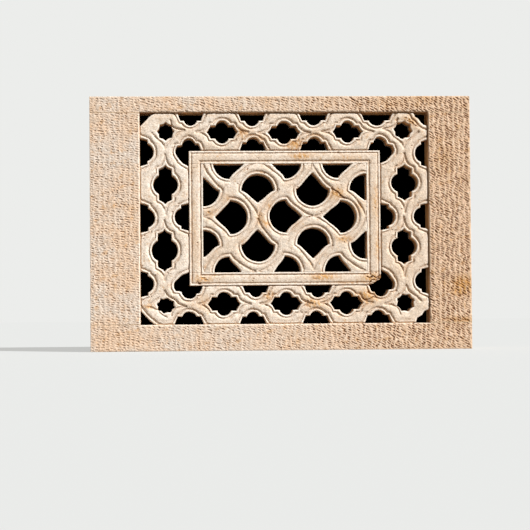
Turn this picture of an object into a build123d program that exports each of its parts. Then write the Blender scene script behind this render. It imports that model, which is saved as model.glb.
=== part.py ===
from dataclasses import dataclass
import os

from build123d import *

# Millimetres, +Z up. The front of the wall faces -Y, so a drawing on Plane.XZ
# reads as the window seen from outside: its x is X and its y is Z.

# The centre: waves of arcs, three columns and two rows, left standing between holes
# in a chequer. Each hole is half round and drawn to a point on its other side.
WAVE_PITCH = 216.0
WAVE_MARGIN_X = 4.0
WAVE_MARGIN_Z = 1.0
INNER_HALF_X = 1.5 * WAVE_PITCH + WAVE_MARGIN_X
INNER_HALF_Z = WAVE_PITCH + WAVE_MARGIN_Z
# The side that a hole's point is on, as its turn from downwards.
DOWN, RIGHT, UP, LEFT = 0.0, 90.0, 180.0, -90.0
# Middle x and z, radius, reach of the point and its side. The mason made no two alike.
CENTRE_HOLES = (
    (-222.0, 221.0, 64.0, 60.0, RIGHT),
    (1.0, 221.0, 63.0, 54.0, LEFT),
    (214.0, 221.0, 62.0, 60.0, RIGHT),
    (-325.0, 111.0, 62.0, 50.0, UP),
    (-108.0, 110.0, 65.0, 47.0, DOWN),
    (111.0, 115.0, 66.0, 64.0, UP),
    (323.0, 112.0, 62.0, 42.0, DOWN),
    (-219.0, 4.0, 67.0, 60.0, LEFT),
    (4.0, 7.0, 65.0, 62.0, RIGHT),
    (222.0, 4.0, 64.0, 68.0, LEFT),
    (-325.0, -108.0, 59.0, 46.0, DOWN),
    (-109.0, -108.0, 66.0, 60.0, UP),
    (112.0, -105.0, 64.0, 56.0, DOWN),
    (324.0, -104.0, 61.0, 46.0, UP),
    (-225.0, -213.0, 58.0, 46.0, RIGHT),
    (-2.0, -215.0, 63.0, 42.0, LEFT),
    (218.0, -213.0, 60.0, 42.0, RIGHT),
)

# The moulded frame round it, with an incised line along both edges.
STILE_WIDTH = 55.0
RAIL_HEIGHT = 52.0
BROKEN_X = 40.0
BROKEN_Z = 25.0
LINE_INSET = 9.5
LINE_WIDTH = 4.0
LINE_DEPTH = 3.0
FRAME_HALF_X = INNER_HALF_X + STILE_WIDTH
FRAME_HALF_Z = INNER_HALF_Z + RAIL_HEIGHT

# The border fills the opening round the frame.
BORDER_ROW = 155.0
BORDER_SIDE = 196.0
OPEN_HALF_X = FRAME_HALF_X + BORDER_SIDE
OPEN_HALF_Z = FRAME_HALF_Z + BORDER_ROW

# The stones round the opening.
SILL_HEIGHT = 105.0
LINTEL_HEIGHT = 63.0
LEFT_JAMB_WIDTH = 198.0
RIGHT_JAMB_WIDTH = 168.0
WALL_DEPTH = 240.0
BED_JOINT = 3.0
BED_SETBACK = 2.0
FRONT = -WALL_DEPTH / 2
WALL_WIDTH = LEFT_JAMB_WIDTH + 2 * OPEN_HALF_X + RIGHT_JAMB_WIDTH
WALL_HEIGHT = SILL_HEIGHT + 2 * OPEN_HALF_Z + LINTEL_HEIGHT

# All of the carving is drawn about the middle of the opening.
CENTRE_X = LEFT_JAMB_WIDTH + OPEN_HALF_X - WALL_WIDTH / 2
CENTRE_Z = SILL_HEIGHT + OPEN_HALF_Z

# The lattice slab, set a little behind the face of the wall.
SLAB_SETBACK = 9.0
SLAB_THICK = 80.0
SLAB_FRONT = FRONT + SLAB_SETBACK

# Lime mortar between the carving and the wall.
MORTAR = 3.0
MORTAR_SETBACK = 5.0

# The border's chains. Their holes were set out and cut by eye, so each has its own
# place and its own size along and across its chain, as shares of the drawn sizes.
# Full holes on the chains over and under the frame: x, z, along, across.
ROW_TIP = 63.0
ROW_CORNER = (46.0, 26.0)
ROW_LOBE_HALF = 26.0
ROW_LOBE_REACH = 47.0
ROW_HOLES = (
    (-250.0, 345.0, 0.97, 0.96),
    (-2.0, 342.0, 1.02, 0.95),
    (254.0, 345.0, 0.95, 0.92),
    (-246.0, -343.0, 1.03, 1.0),
    (2.0, -343.0, 0.98, 0.96),
    (244.0, -342.0, 1.04, 0.96),
)
# Half holes of those chains, at the wall and at the frame: x, along, across.
ROW_HALF_BASE = 57.0
ROW_HALF_CORNER = (45.0, 35.0)
ROW_HALF_LOBE = 27.0
ROW_HALF_REACH = 57.0
LINTEL_HALVES = ((-376.0, 0.92, 0.92), (-130.0, 0.95, 0.96), (118.0, 1.02, 0.93), (372.0, 1.12, 0.95))
SILL_HALVES = ((-386.0, 1.02, 0.88), (-131.0, 0.93, 0.84), (123.0, 0.96, 0.88), (371.0, 0.96, 0.9))
TOP_RAIL_HALVES = ((-126.0, 0.92, 0.94), (120.0, 1.0, 0.95))
BOTTOM_RAIL_HALVES = ((-119.0, 0.92, 0.82), (130.0, 0.98, 0.87))
# Full holes on the chains beside the frame: x, z, along, across.
SIDE_TIP = 84.0
SIDE_CORNER = (66.0, 27.0)
SIDE_LOBE_HALF = 40.0
SIDE_LOBE_REACH = 52.5
SIDE_HOLES = (
    (-482.0, -128.0, 0.99, 0.98),
    (-478.0, 135.0, 0.92, 0.92),
    (478.0, -118.0, 0.84, 0.96),
    (482.0, 139.0, 0.85, 1.02),
)
# Half holes of those chains, at the wall and at the frame: z, along, across.
SIDE_HALF_BASE = 58.0
SIDE_HALF_CORNER = (50.0, 30.0)
SIDE_HALF_LOBE = 37.0
SIDE_HALF_REACH = 55.0
LEFT_JAMB_HALVES = ((-262.0, 0.87, 0.96), (2.0, 1.02, 1.06), (265.0, 0.97, 0.98))
RIGHT_JAMB_HALVES = ((-255.0, 0.91, 1.04), (4.0, 0.9, 1.1), (257.0, 0.94, 0.96))
LEFT_STILE_HALF = (5.0, 0.93, 1.06)
RIGHT_STILE_HALF = (3.0, 0.94, 1.08)
# Holes where two chains meet at a corner: one round the frame's own corner, a small
# one outside it and a triangle in the corner of the opening.
BEND_REACH = 55.0
CORNER_X = FRAME_HALF_X + BORDER_SIDE / 2 - 5.0
CORNER_Z = FRAME_HALF_Z + BORDER_ROW / 2 + 1.5
CORNER_HOLE = 32.0
TRIANGLE_X = 56.0
TRIANGLE_Z = 52.0


@dataclass
class Corner:
    """One corner of the border: its side, and the sizes of its holes as shares."""

    s: int
    t: int
    rail_leg: float
    stile_leg: float
    beside: float
    over: float
    small_x: float
    small_z: float
    small_shift: tuple
    triangle: float


CORNERS = (
    Corner(-1, 1, 0.84, 1.02, 0.95, 0.9, 1.0, 1.04, (0.0, 0.0), 1.15),
    Corner(1, 1, 0.8, 0.86, 1.0, 0.98, 1.2, 1.1, (6.0, 3.0), 1.05),
    Corner(-1, -1, 0.87, 0.9, 1.12, 0.95, 1.1, 0.85, (4.0, 0.0), 1.0),
    Corner(1, -1, 0.84, 1.0, 0.97, 0.87, 1.16, 1.1, (6.0, -5.0), 1.2),
)


def sheet(*edges):
    """A face from edges that join end to end, drawn about the window's centre."""
    return make_face(Wire(list(edges)))


def path(points):
    return [Line(a, b) for a, b in zip(points, points[1:])]


def lobe(half, base, reach):
    """A rounded lobe, run from its right foot over its crown to its left foot."""
    return ThreePointArc((half, base), (0, reach), (-half, base))


def full_hole(tip, corner, half, reach, along, over):
    """A cusped hole: points along x, lobes along y, square shoulders between."""
    tip, half, reach = tip * along, half * along, reach * over
    across, up = corner[0] * along, corner[1] * over
    right_up = path([(tip, 0), (across, up), (half, up)])
    left_up = path([(-half, up), (-across, up), (-tip, 0)])
    left_down = path([(-tip, 0), (-across, -up), (-half, -up)])
    right_down = path([(half, -up), (across, -up), (tip, 0)])
    under = ThreePointArc((-half, -up), (0, -reach), (half, -up))
    edges = right_up + [lobe(half, up, reach)] + left_up
    return sheet(*edges, *left_down, under, *right_down)


def half_hole(base, corner, half, reach, along, over):
    """Half of such a hole, its flat side on y = 0 and its lobe pointing up."""
    base, half, reach = base * along, half * along, reach * over
    across, up = corner[0] * along, corner[1] * over
    right = path([(base, 0), (across, up), (half, up)])
    left = path([(-half, up), (-across, up), (-base, 0)])
    return sheet(*right, lobe(half, up, reach), *left, Line((-base, 0), (base, 0)))


def placed(face, x, z, turn=0.0):
    return Pos(x, z) * Rot(0, 0, turn) * face


def row_half(x, z, turn, along, over):
    sizes = (ROW_HALF_BASE, ROW_HALF_CORNER, ROW_HALF_LOBE, ROW_HALF_REACH)
    return placed(half_hole(*sizes, along, over), x, z, turn)


def side_half(x, z, turn, along, over):
    sizes = (SIDE_HALF_BASE, SIDE_HALF_CORNER, SIDE_HALF_LOBE, SIDE_HALF_REACH)
    return placed(half_hole(*sizes, along, over), x, z, turn)


def small_hole(corner):
    """The small hole of a corner, pointed along both chains."""
    x, z = corner.small_x * CORNER_HOLE, corner.small_z * CORNER_HOLE
    points = [(-x, 0), (-0.62 * x, -0.75 * z), (0.06 * x, -z), (0.88 * x, -0.35 * z)]
    points += [(0.8 * x, 0.3 * z), (0.88 * x, z), (-0.5 * x, z), (-0.65 * x, 0.4 * z)]
    return sheet(*path(points + [(-x, 0)]))


def bend_hole(corner):
    """The hole round a corner of the frame, with a lobe over it and one beside it."""
    r = BEND_REACH
    rail, stile = corner.rail_leg * r, corner.stile_leg * r
    out, up = corner.beside * r, corner.over * r
    rise = path([(-1.05 * rail, 0), (-0.8 * rail, 0.6 * up), (-0.55 * rail, 0.6 * up)])
    over = ThreePointArc((-0.55 * rail, 0.6 * up), (0, up), (0.5 * out, 0.55 * up))
    shoulder = path([(0.5 * out, 0.55 * up), (0.55 * out, 0.4 * up), (0.87 * out, 0.4 * up)])
    beside = ThreePointArc((0.87 * out, 0.4 * up), (1.02 * out, 0), (0.8 * out, -0.5 * stile))
    fall = path([(0.8 * out, -0.5 * stile), (0.5 * out, -0.85 * stile), (0, -1.08 * stile)])
    inside = path([(0, -1.08 * stile), (0, 0), (-1.05 * rail, 0)])
    return sheet(*rise, over, *shoulder, beside, *fall, *inside)


def corner_holes(corner):
    """The three holes of a corner, each drawn for the upper right and mirrored."""
    x, z = corner.triangle * TRIANGLE_X, corner.triangle * TRIANGLE_Z
    triangle = sheet(*path([(0, 0), (-x, 0), (0, -z), (0, 0)]))
    dx, dz = corner.small_shift
    drawn = (
        placed(bend_hole(corner), FRAME_HALF_X, FRAME_HALF_Z),
        placed(small_hole(corner), CORNER_X + dx, CORNER_Z + dz),
        placed(triangle, OPEN_HALF_X, OPEN_HALF_Z),
    )
    holes = []
    for face in drawn:
        if corner.s < 0:
            face = mirror(face, about=Plane.YZ)
        if corner.t < 0:
            face = mirror(face, about=Plane.XZ)
        holes.append(face)
    return holes


def border_holes():
    """Every hole of the border, about the window's centre."""
    row = (ROW_TIP, ROW_CORNER, ROW_LOBE_HALF, ROW_LOBE_REACH)
    side = (SIDE_TIP, SIDE_CORNER, SIDE_LOBE_HALF, SIDE_LOBE_REACH)
    holes = []
    for x, z, along, over in ROW_HOLES:
        holes.append(placed(full_hole(*row, along, over), x, z))
    for x, z, along, over in SIDE_HOLES:
        holes.append(placed(full_hole(*side, along, over), x, z, 90))
    rows = (
        (LINTEL_HALVES, OPEN_HALF_Z, 180),
        (SILL_HALVES, -OPEN_HALF_Z, 0),
        (TOP_RAIL_HALVES, FRAME_HALF_Z, 0),
        (BOTTOM_RAIL_HALVES, -FRAME_HALF_Z, 180),
    )
    for halves, z, turn in rows:
        for x, along, over in halves:
            holes.append(row_half(x, z, turn, along, over))
    sides = (
        (LEFT_JAMB_HALVES, -OPEN_HALF_X, -90),
        (RIGHT_JAMB_HALVES, OPEN_HALF_X, 90),
        ([LEFT_STILE_HALF], -FRAME_HALF_X, 90),
        ([RIGHT_STILE_HALF], FRAME_HALF_X, -90),
    )
    for halves, x, turn in sides:
        for z, along, over in halves:
            holes.append(side_half(x, z, turn, along, over))
    for corner in CORNERS:
        holes.extend(corner_holes(corner))
    return holes


def tear_hole(x, z, radius, reach, turn):
    """A hole of the centre: half round above, its flanks bent in to a point below."""
    flank = [(radius, 0), (0.84 * radius, -0.1 * reach), (0.36 * radius, -0.64 * reach)]
    right = path([(0, -reach)] + flank[::-1])
    left = path([(-across, up) for across, up in flank] + [(0, -reach)])
    crown = ThreePointArc((radius, 0), (0, radius), (-radius, 0))
    return placed(sheet(*right, crown, *left), x, z, turn)


def window(face, front, depth):
    """Extrude a face drawn about the window's centre, back from a front plane."""
    solid = extrude(Plane.XZ * face, amount=-depth)
    return Pos(CENTRE_X, front, CENTRE_Z) * solid


def slab_box(x0, x1, z0, z1):
    return placed(Rectangle(x1 - x0, z1 - z0), (x0 + x1) / 2, (z0 + z1) / 2)


def block(x0, x1, y0, y1, z0, z1):
    centre = Pos((x0 + x1) / 2, (y0 + y1) / 2, (z0 + z1) / 2)
    return centre * Box(x1 - x0, y1 - y0, z1 - z0)


def save(name, shape):
    solids = shape.solids()
    body = solids[0] if len(solids) == 1 else Compound(children=list(solids))
    export_step(body, os.path.join("parts", name + ".step"))


def wall_pieces():
    left = CENTRE_X - OPEN_HALF_X
    right = CENTRE_X + OPEN_HALF_X
    low = CENTRE_Z - OPEN_HALF_Z
    high = CENTRE_Z + OPEN_HALF_Z
    half = WALL_WIDTH / 2
    back = -FRONT
    pieces = {
        "lintel": block(-half, half, FRONT, back, high, WALL_HEIGHT),
        "sill": block(-half, half, FRONT, back, 0, low),
    }
    for name, x0, x1 in (("left", -half, left), ("right", right, half)):
        foot, head = low + BED_JOINT, high - BED_JOINT
        pieces[name + "_jamb"] = block(x0, x1, FRONT, back, foot, head)
        y0 = FRONT + BED_SETBACK
        pieces["bed_joint_lower_" + name] = block(x0, x1, y0, back, low, foot)
        pieces["bed_joint_upper_" + name] = block(x0, x1, y0, back, head, high)
    return pieces


def pad_runs(halves, base, ends):
    """Where the ribbons touch the wall along one side: between its half holes."""
    marks = list(ends)
    for middle, along, over in halves:
        marks += [middle - base * along, middle + base * along]
    marks.sort()
    return list(zip(marks[::2], marks[1::2]))


def mortar_pieces():
    """Mortar where the ribbons touch the wall, one group of pads a side."""
    y0 = SLAB_FRONT + MORTAR_SETBACK
    depth = SLAB_THICK - MORTAR_SETBACK
    pieces = {}
    for name, t, halves in (("top", 1, LINTEL_HALVES), ("bottom", -1, SILL_HALVES)):
        z0, z1 = sorted((t * OPEN_HALF_Z, t * (OPEN_HALF_Z - MORTAR)))
        corners = [c for c in CORNERS if c.t == t]
        ends = [c.s * (OPEN_HALF_X - c.triangle * TRIANGLE_X) for c in corners]
        runs = pad_runs(halves, ROW_HALF_BASE, ends)
        pieces["mortar_" + name] = [slab_box(a, b, z0, z1) for a, b in runs]
    for name, s, halves in (("right", 1, RIGHT_JAMB_HALVES), ("left", -1, LEFT_JAMB_HALVES)):
        x0, x1 = sorted((s * OPEN_HALF_X, s * (OPEN_HALF_X - MORTAR)))
        corners = [c for c in CORNERS if c.s == s]
        ends = [c.t * (OPEN_HALF_Z - c.triangle * TRIANGLE_Z) for c in corners]
        runs = pad_runs(halves, SIDE_HALF_BASE, ends)
        pieces["mortar_" + name] = [slab_box(x0, x1, a, b) for a, b in runs]
    return {
        name: Compound(children=[window(pad, y0, depth) for pad in pads])
        for name, pads in pieces.items()
    }


def border_pieces():
    """The pierced border, as a band over, under and on each side of the frame."""
    edge_x = OPEN_HALF_X - MORTAR
    edge_z = OPEN_HALF_Z - MORTAR
    bands = {
        "border_lattice_top": (-edge_x, edge_x, FRAME_HALF_Z, edge_z),
        "border_lattice_bottom": (-edge_x, edge_x, -edge_z, -FRAME_HALF_Z),
        "border_lattice_left": (-edge_x, -FRAME_HALF_X, -FRAME_HALF_Z, FRAME_HALF_Z),
        "border_lattice_right": (FRAME_HALF_X, edge_x, -FRAME_HALF_Z, FRAME_HALF_Z),
    }
    holes = border_holes()
    pieces = {}
    for name, limits in bands.items():
        face = slab_box(*limits) - holes
        pieces[name] = window(face, SLAB_FRONT, SLAB_THICK)
    return pieces


def ring(half_x, half_z, grow):
    """A thin rectangular line, its outer edge grown from the given half sizes."""
    x, z, w = half_x + grow, half_z + grow, LINE_WIDTH
    inner = slab_box(w - x, x - w, w - z, z - w)
    return slab_box(-x, x, -z, z) - inner


def frame_pieces():
    in_x, in_z = INNER_HALF_X, INNER_HALF_Z
    bars = {
        "frame_top_rail": (-FRAME_HALF_X, FRAME_HALF_X, in_z, FRAME_HALF_Z),
        "frame_bottom_rail": (-FRAME_HALF_X, FRAME_HALF_X, -FRAME_HALF_Z, -in_z),
        "frame_left_stile": (-FRAME_HALF_X, -in_x, -in_z, in_z),
        "frame_right_stile": (in_x, FRAME_HALF_X, -in_z, in_z),
    }
    x, z = FRAME_HALF_X, -FRAME_HALF_Z
    broken = [(x, z), (x, z + BROKEN_Z), (x - 0.45 * BROKEN_X, z + 0.62 * BROKEN_Z)]
    lost = sheet(*path(broken + [(x - BROKEN_X, z), (x, z)]))
    lines = [ring(FRAME_HALF_X, FRAME_HALF_Z, -LINE_INSET)]
    lines.append(ring(in_x, in_z, LINE_INSET + LINE_WIDTH))
    pieces = {}
    for name, limits in bars.items():
        face = slab_box(*limits)
        if name == "frame_bottom_rail":
            face = face - lost
        bar = window(face, SLAB_FRONT, SLAB_THICK)
        for line in lines:
            bar = bar - window(line, SLAB_FRONT, LINE_DEPTH)
        pieces[name] = bar
    return pieces


def centre_piece():
    in_x, in_z = INNER_HALF_X, INNER_HALF_Z
    holes = [tear_hole(*hole) for hole in CENTRE_HOLES]
    face = slab_box(-in_x, in_x, -in_z, in_z) - holes
    return {"centre_lattice": window(face, SLAB_FRONT, SLAB_THICK)}


os.makedirs("parts", exist_ok=True)
for make in (wall_pieces, mortar_pieces, border_pieces, frame_pieces, centre_piece):
    for piece_name, piece in make().items():
        save(piece_name, piece)
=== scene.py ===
"""Carved stone window: the finish of its carving, tooling, mortar and stone.

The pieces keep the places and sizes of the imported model. Drawings of the carving are in
millimetres about the middle of the opening, x to the right and z up as seen from outside.
"""

import sys

import logging
import math
from abc import ABC, abstractmethod
from collections.abc import Callable
from dataclasses import dataclass, field, replace
from enum import Enum

import bpy
import numpy as np
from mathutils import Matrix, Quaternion, Vector, geometry

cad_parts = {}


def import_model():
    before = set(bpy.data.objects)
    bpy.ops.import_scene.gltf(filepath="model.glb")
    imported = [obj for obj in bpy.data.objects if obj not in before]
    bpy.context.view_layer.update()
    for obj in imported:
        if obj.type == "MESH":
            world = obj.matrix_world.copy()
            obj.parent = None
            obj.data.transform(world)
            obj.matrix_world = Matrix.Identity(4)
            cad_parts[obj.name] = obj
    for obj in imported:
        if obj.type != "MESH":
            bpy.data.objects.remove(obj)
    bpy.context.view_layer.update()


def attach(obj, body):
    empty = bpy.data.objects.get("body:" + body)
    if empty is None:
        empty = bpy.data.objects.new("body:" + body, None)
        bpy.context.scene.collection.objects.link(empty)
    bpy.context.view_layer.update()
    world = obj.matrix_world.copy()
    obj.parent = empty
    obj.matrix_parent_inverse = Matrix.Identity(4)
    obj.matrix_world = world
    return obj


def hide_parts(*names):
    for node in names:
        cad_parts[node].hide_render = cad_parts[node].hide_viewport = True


Array = np.ndarray
Limits = tuple[float, float, float, float]
Strips = dict[str, list[Limits]]
Pieces = dict[str, bpy.types.Object]
Spans = list[tuple[float, float]]
Socket = bpy.types.NodeSocket
# What a node's input gets: another node's output, a number or a colour.
Feed = Socket | float | tuple

# A distance in millimetres that counts as far from any edge or line.
FAR = 40.0
# Grid points closer to an edge than this share of the grid's spacing are moved onto it.
SNAP = 0.33

log = logging.getLogger("carved_window")


class Stone(Enum):
    """The record's finishes, by the name of their slot."""

    WALL = "tan_sandstone"
    LATTICE = "cream_sandstone"
    MORTAR = "lime_mortar"


@dataclass(frozen=True)
class Layout:
    """Sizes that the pieces share, in millimetres.

    The wall's back is at y = 120 and its front at y = -120.
    """

    centre_x: float = 15.0
    centre_z: float = 529.0
    open_x: float = 579.0
    open_z: float = 424.0
    wall_half: float = 762.0
    wall_height: float = 1016.0
    front: float = -120.0
    back: float = 120.0
    slab_front: float = -111.0
    slab_back: float = -31.0
    mortar: float = 3.0
    bed_joint: float = 3.0
    frame_x: float = 383.0
    frame_z: float = 269.0
    stile: float = 55.0
    rail: float = 52.0

    @property
    def wall(self) -> Limits:
        """The wall's left, right, low and high about the middle of the opening."""
        left, right = -self.wall_half - self.centre_x, self.wall_half - self.centre_x
        return left, right, -self.centre_z, self.wall_height - self.centre_z

    @property
    def slab(self) -> tuple[float, float]:
        """Half the width and height of the lattice, inside its mortar."""
        return self.open_x - self.mortar, self.open_z - self.mortar

    @property
    def inner(self) -> tuple[float, float]:
        """Half the width and height of the centre, inside the frame."""
        return self.frame_x - self.stile, self.frame_z - self.rail


LAYOUT = Layout()


def ripple(x: Array, z: Array, scale: float, seed: int, waves: int = 7) -> Array:
    """Smooth seeded unevenness: a sum of sine waves that run in scattered directions.

    Args:
        x, z: Positions, in millimetres.
        scale: Typical distance from one hump to the next.
        seed: Picks the directions, lengths and phases.
        waves: How many sine waves are added.

    Returns:
        A value for each position, nearly all between -1 and 1.
    """
    rng = np.random.default_rng(seed)
    angle = rng.uniform(0, 2 * np.pi, waves)
    number = 2 * np.pi / (scale * rng.uniform(0.7, 1.6, waves))
    phase = rng.uniform(0, 2 * np.pi, waves)
    total = np.zeros(np.shape(x))
    for a, k, p in zip(angle, number, phase):
        total += np.sin(k * (np.cos(a) * x + np.sin(a) * z) + p)
    return total / (0.75 * waves)


def scatter(ix: Array, iz: Array, seed: int) -> Array:
    """A repeatable number from 0 to 1 for each pair of whole numbers.

    It is the fractional part of a large multiple of the sine of a mix of both.
    """
    mixed = np.sin(ix * 127.1 + iz * 311.7 + seed * 74.7) * 43758.5453
    return mixed - np.floor(mixed)


def smooth(value: Array, low: float, high: float) -> Array:
    """0 under low, 1 over high and an S-shaped rise between, 3t^2 - 2t^3."""
    t = np.clip((value - low) / (high - low), 0, 1)
    return t * t * (3 - 2 * t)


def arc(start: tuple, via: tuple, end: tuple, count: int = 17) -> Array:
    """Points on the circle through three points, from the first to the last.

    Args:
        start: First point, (x, z).
        via: A point that the arc passes.
        end: Last point.
        count: How many points.

    Returns:
        An array of count points.
    """
    (x0, z0), (x1, z1), (x2, z2) = start, via, end
    d = 2 * (x0 * (z1 - z2) + x1 * (z2 - z0) + x2 * (z0 - z1))
    s0, s1, s2 = x0 * x0 + z0 * z0, x1 * x1 + z1 * z1, x2 * x2 + z2 * z2
    cx = (s0 * (z1 - z2) + s1 * (z2 - z0) + s2 * (z0 - z1)) / d
    cz = (s0 * (x2 - x1) + s1 * (x0 - x2) + s2 * (x1 - x0)) / d
    a0, a1, a2 = (math.atan2(z - cz, x - cx) for x, z in (start, via, end))
    sweep = (a2 - a0) % (2 * math.pi)
    if (a1 - a0) % (2 * math.pi) > sweep:
        sweep -= 2 * math.pi
    a = a0 + np.linspace(0, sweep, count)
    r = math.hypot(x0 - cx, z0 - cz)
    return np.stack([cx + r * np.cos(a), cz + r * np.sin(a)], 1)


def eased(points: list[tuple], rounds: int = 3) -> Array:
    """An open line with its corners cut: each round keeps 1/4 and 3/4 of every run.

    Args:
        points: The line's corners.
        rounds: How many times its corners are cut.

    Returns:
        The points of the smoothed line, with its two ends kept.
    """
    line = np.array(points, float)
    for _ in range(rounds):
        a, b = line[:-1], line[1:]
        cut = np.stack([0.75 * a + 0.25 * b, 0.25 * a + 0.75 * b], 1).reshape(-1, 2)
        line = np.vstack([line[:1], cut, line[-1:]])
    return line


def placed(line: Array, x: float, z: float, turn: float = 0) -> Array:
    """A line turned in degrees and then moved.

    Args:
        line: The line's points.
        x: Where its origin goes along x.
        z: Where its origin goes along z.
        turn: Degrees, anticlockwise.

    Returns:
        The points in their new places.
    """
    a = math.radians(turn)
    px, pz = line[:, 0], line[:, 1]
    turned = [px * math.cos(a) - pz * math.sin(a), px * math.sin(a) + pz * math.cos(a)]
    return np.stack(turned, 1) + [x, z]


def near(x: Array, z: Array, line: Array) -> Array:
    """Distance to a line of straight runs, to the nearest point of each run in turn.

    Args:
        x, z: Positions, in millimetres.
        line: The line's points.

    Returns:
        The distance of each position.
    """
    a, b = line[:-1], line[1:]
    run = b - a
    length = np.maximum((run**2).sum(1), 1e-9)
    px, pz = x[:, None] - a[:, 0], z[:, None] - a[:, 1]
    t = np.clip((px * run[:, 0] + pz * run[:, 1]) / length, 0, 1)
    gap = (px - t * run[:, 0]) ** 2 + (pz - t * run[:, 1]) ** 2
    return np.sqrt(gap.min(1))


def within(x: Array, z: Array, ring: Array) -> Array:
    """Tells what lies inside a ring, where a ray to the right crosses it an odd number of times.

    Args:
        x, z: Positions, in millimetres.
        ring: The closed ring's points.

    Returns:
        True for each position inside.
    """
    a, b = ring, np.roll(ring, -1, 0)
    straddles = (a[:, 1] > z[:, None]) != (b[:, 1] > z[:, None])
    rise = np.where(b[:, 1] == a[:, 1], 1e-9, b[:, 1] - a[:, 1])
    cross = a[:, 0] + (z[:, None] - a[:, 1]) * (b[:, 0] - a[:, 0]) / rise
    return (straddles & (x[:, None] < cross)).sum(1) % 2 == 1


@dataclass(frozen=True)
class Hole:
    """One pierced hole: its edge, and the incised lines that go with it."""

    edge: Array
    lines: tuple[Array, ...]


class Drawing(ABC):
    """A hole drawn about its own middle: each kind gives its edge and its line."""

    @abstractmethod
    def edge(self) -> Array:
        """The closed edge."""

    @abstractmethod
    def line(self) -> Array:
        """The incised line outside the edge."""

    def at(self, x: float, z: float, turn: float = 0) -> Hole:
        """This hole placed about (x, z), turned in degrees."""
        return Hole(placed(self.edge(), x, z, turn), (placed(self.line(), x, z, turn),))


@dataclass(frozen=True)
class LobedHole(Drawing):
    """What full and half holes of the border share: shoulders, and a lobe between them."""

    half_length: float
    corner: tuple
    lobe: float
    reach: float
    bead: float = 11.0

    def sized(self, along: float, over: float) -> "LobedHole":
        """This hole at other shares of its size.

        Args:
            along: Share of its size along its chain.
            over: Share of its size across it.

        Returns:
            The other hole.
        """
        length, corner = self.half_length * along, (self.corner[0] * along, self.corner[1] * over)
        lobe, reach = self.lobe * along, self.reach * over
        return replace(self, half_length=length, corner=corner, lobe=lobe, reach=reach)

    def crown(self, out: float = 0) -> Array:
        """The lobe's arc, from right to left, moved so far out."""
        across, up = self.lobe + out, self.corner[1] + out
        return arc((across, up), (0, self.reach + out), (-across, up))


@dataclass(frozen=True)
class CuspedHole(LobedHole):
    """A full hole of the border, pointed along its chain, lobed across it."""

    run: float = 104.0

    def edge(self) -> Array:
        """The closed edge, a quarter drawn and mirrored twice.

        Returns:
            The edge's points.
        """
        across, up = self.corner
        tip = self.half_length
        side = [(tip, 0), (0.82 * tip + 0.1 * across, 0.3 * up), (across, up)]
        side = np.array(side, float)
        upper = np.vstack([side, self.crown(), side[::-1] * [-1, 1]])
        return np.vstack([upper, (upper * [1, -1])[::-1][1:-1]])

    def line(self) -> Array:
        """The incised line outside the bead, which runs on past the tips.

        Returns:
            The line's points.
        """
        across, up = self.corner
        b, tip = self.bead, self.half_length
        half = [(self.run, 0), (0.45 * self.run + 0.55 * tip, 0.16 * up)]
        half += [(0.3 * across + 0.72 * tip, 0.72 * up), (across + 0.8 * b, up + b)]
        half += [(across - 0.3 * b, up + b), (self.lobe + b, up + b)]
        half = eased(half, 2)[:-1]
        upper = np.vstack([half, self.crown(b), half[::-1] * [-1, 1]])
        return np.vstack([upper, (upper * [1, -1])[::-1][1:]])


@dataclass(frozen=True)
class HalfHole(LobedHole):
    """Half a hole of the border, its flat side on z = 0 and its lobe pointing up."""

    flare: float = 15.0

    def edge(self) -> Array:
        """The closed edge, run on a little past the flat side.

        Returns:
            The edge's points.
        """
        base = self.half_length
        side = np.array([(base, -3), (base, 0), self.corner])
        return np.vstack([side, self.crown(), side[::-1] * [-1, 1]])

    def line(self) -> Array:
        """The incised line outside the bead, flared where it meets the flat side.

        Returns:
            The line's points.
        """
        across, up = self.corner
        b, base = self.bead, self.half_length
        half = [(base + b + self.flare, 1), (base + b + 3, 0.12 * up)]
        half += [(across + 1.1 * b, 0.8 * up), (across + 0.5 * b, up + b)]
        half = eased(half + [(self.lobe + b, up + b)], 2)[:-1]
        return np.vstack([half, self.crown(b), half[::-1] * [-1, 1]])


@dataclass(frozen=True)
class TearHole(Drawing):
    """A hole of the centre: half round on one side, drawn to a point on the other."""

    radius: float
    reach: float
    bead: float = 11.5
    meet: float = 106.0

    def edge(self) -> Array:
        """The closed edge, with the point downwards.

        A half circle over the middle, and flanks that swell a little on their way in.

        Returns:
            The edge's points.
        """
        r, a = self.radius, self.reach
        flank = [(r, 0), (0.82 * r, -0.10 * a), (0.62 * r, -0.30 * a), (0.36 * r, -0.64 * a)]
        return self.tear(r, 0, eased(flank + [(0.03 * r, -a)], 1))

    def line(self) -> Array:
        """The incised line outside the bead, whose flanks run on to the next bar.

        Returns:
            The line's points.
        """
        r, b = self.radius, self.bead
        flank = [(r + b, -5), (0.88 * r, -19), (0.64 * r, -37), (0.36 * r, -60)]
        return self.tear(r + b, -5, eased(flank + [(0.09 * r, -86), (0.4, 2 - self.meet)], 2))

    def tear(self, wide: float, low: float, flank: Array) -> Array:
        """A closed tear.

        Args:
            wide: Half its width, and the height of its crown.
            low: The height of its crown's ends.
            flank: Its right flank, from the crown to the point.

        Returns:
            The crown from right to left, then the left flank down and the right one up.
        """
        crown = arc((wide, low), (0, wide), (-wide, low), 33)
        return np.vstack([crown, (flank * [-1, 1])[1:], flank[::-1][:-1]])


@dataclass
class Skin:
    """What tools and weather left on a face: a number for each of its points. Part of the
    dirt is painted shade in cuts and hollows, and part of the pale a painted highlight.

    The height is in millimetres over the plain face, the others are from 0 to 1.
    """

    height: Array
    dirt: Array
    rust: Array
    pale: Array


@dataclass
class Sheet:
    """A face's points and triangles, and its points' gap to the nearest hole."""

    x: Array
    z: Array
    gap: Array
    faces: Array


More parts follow.
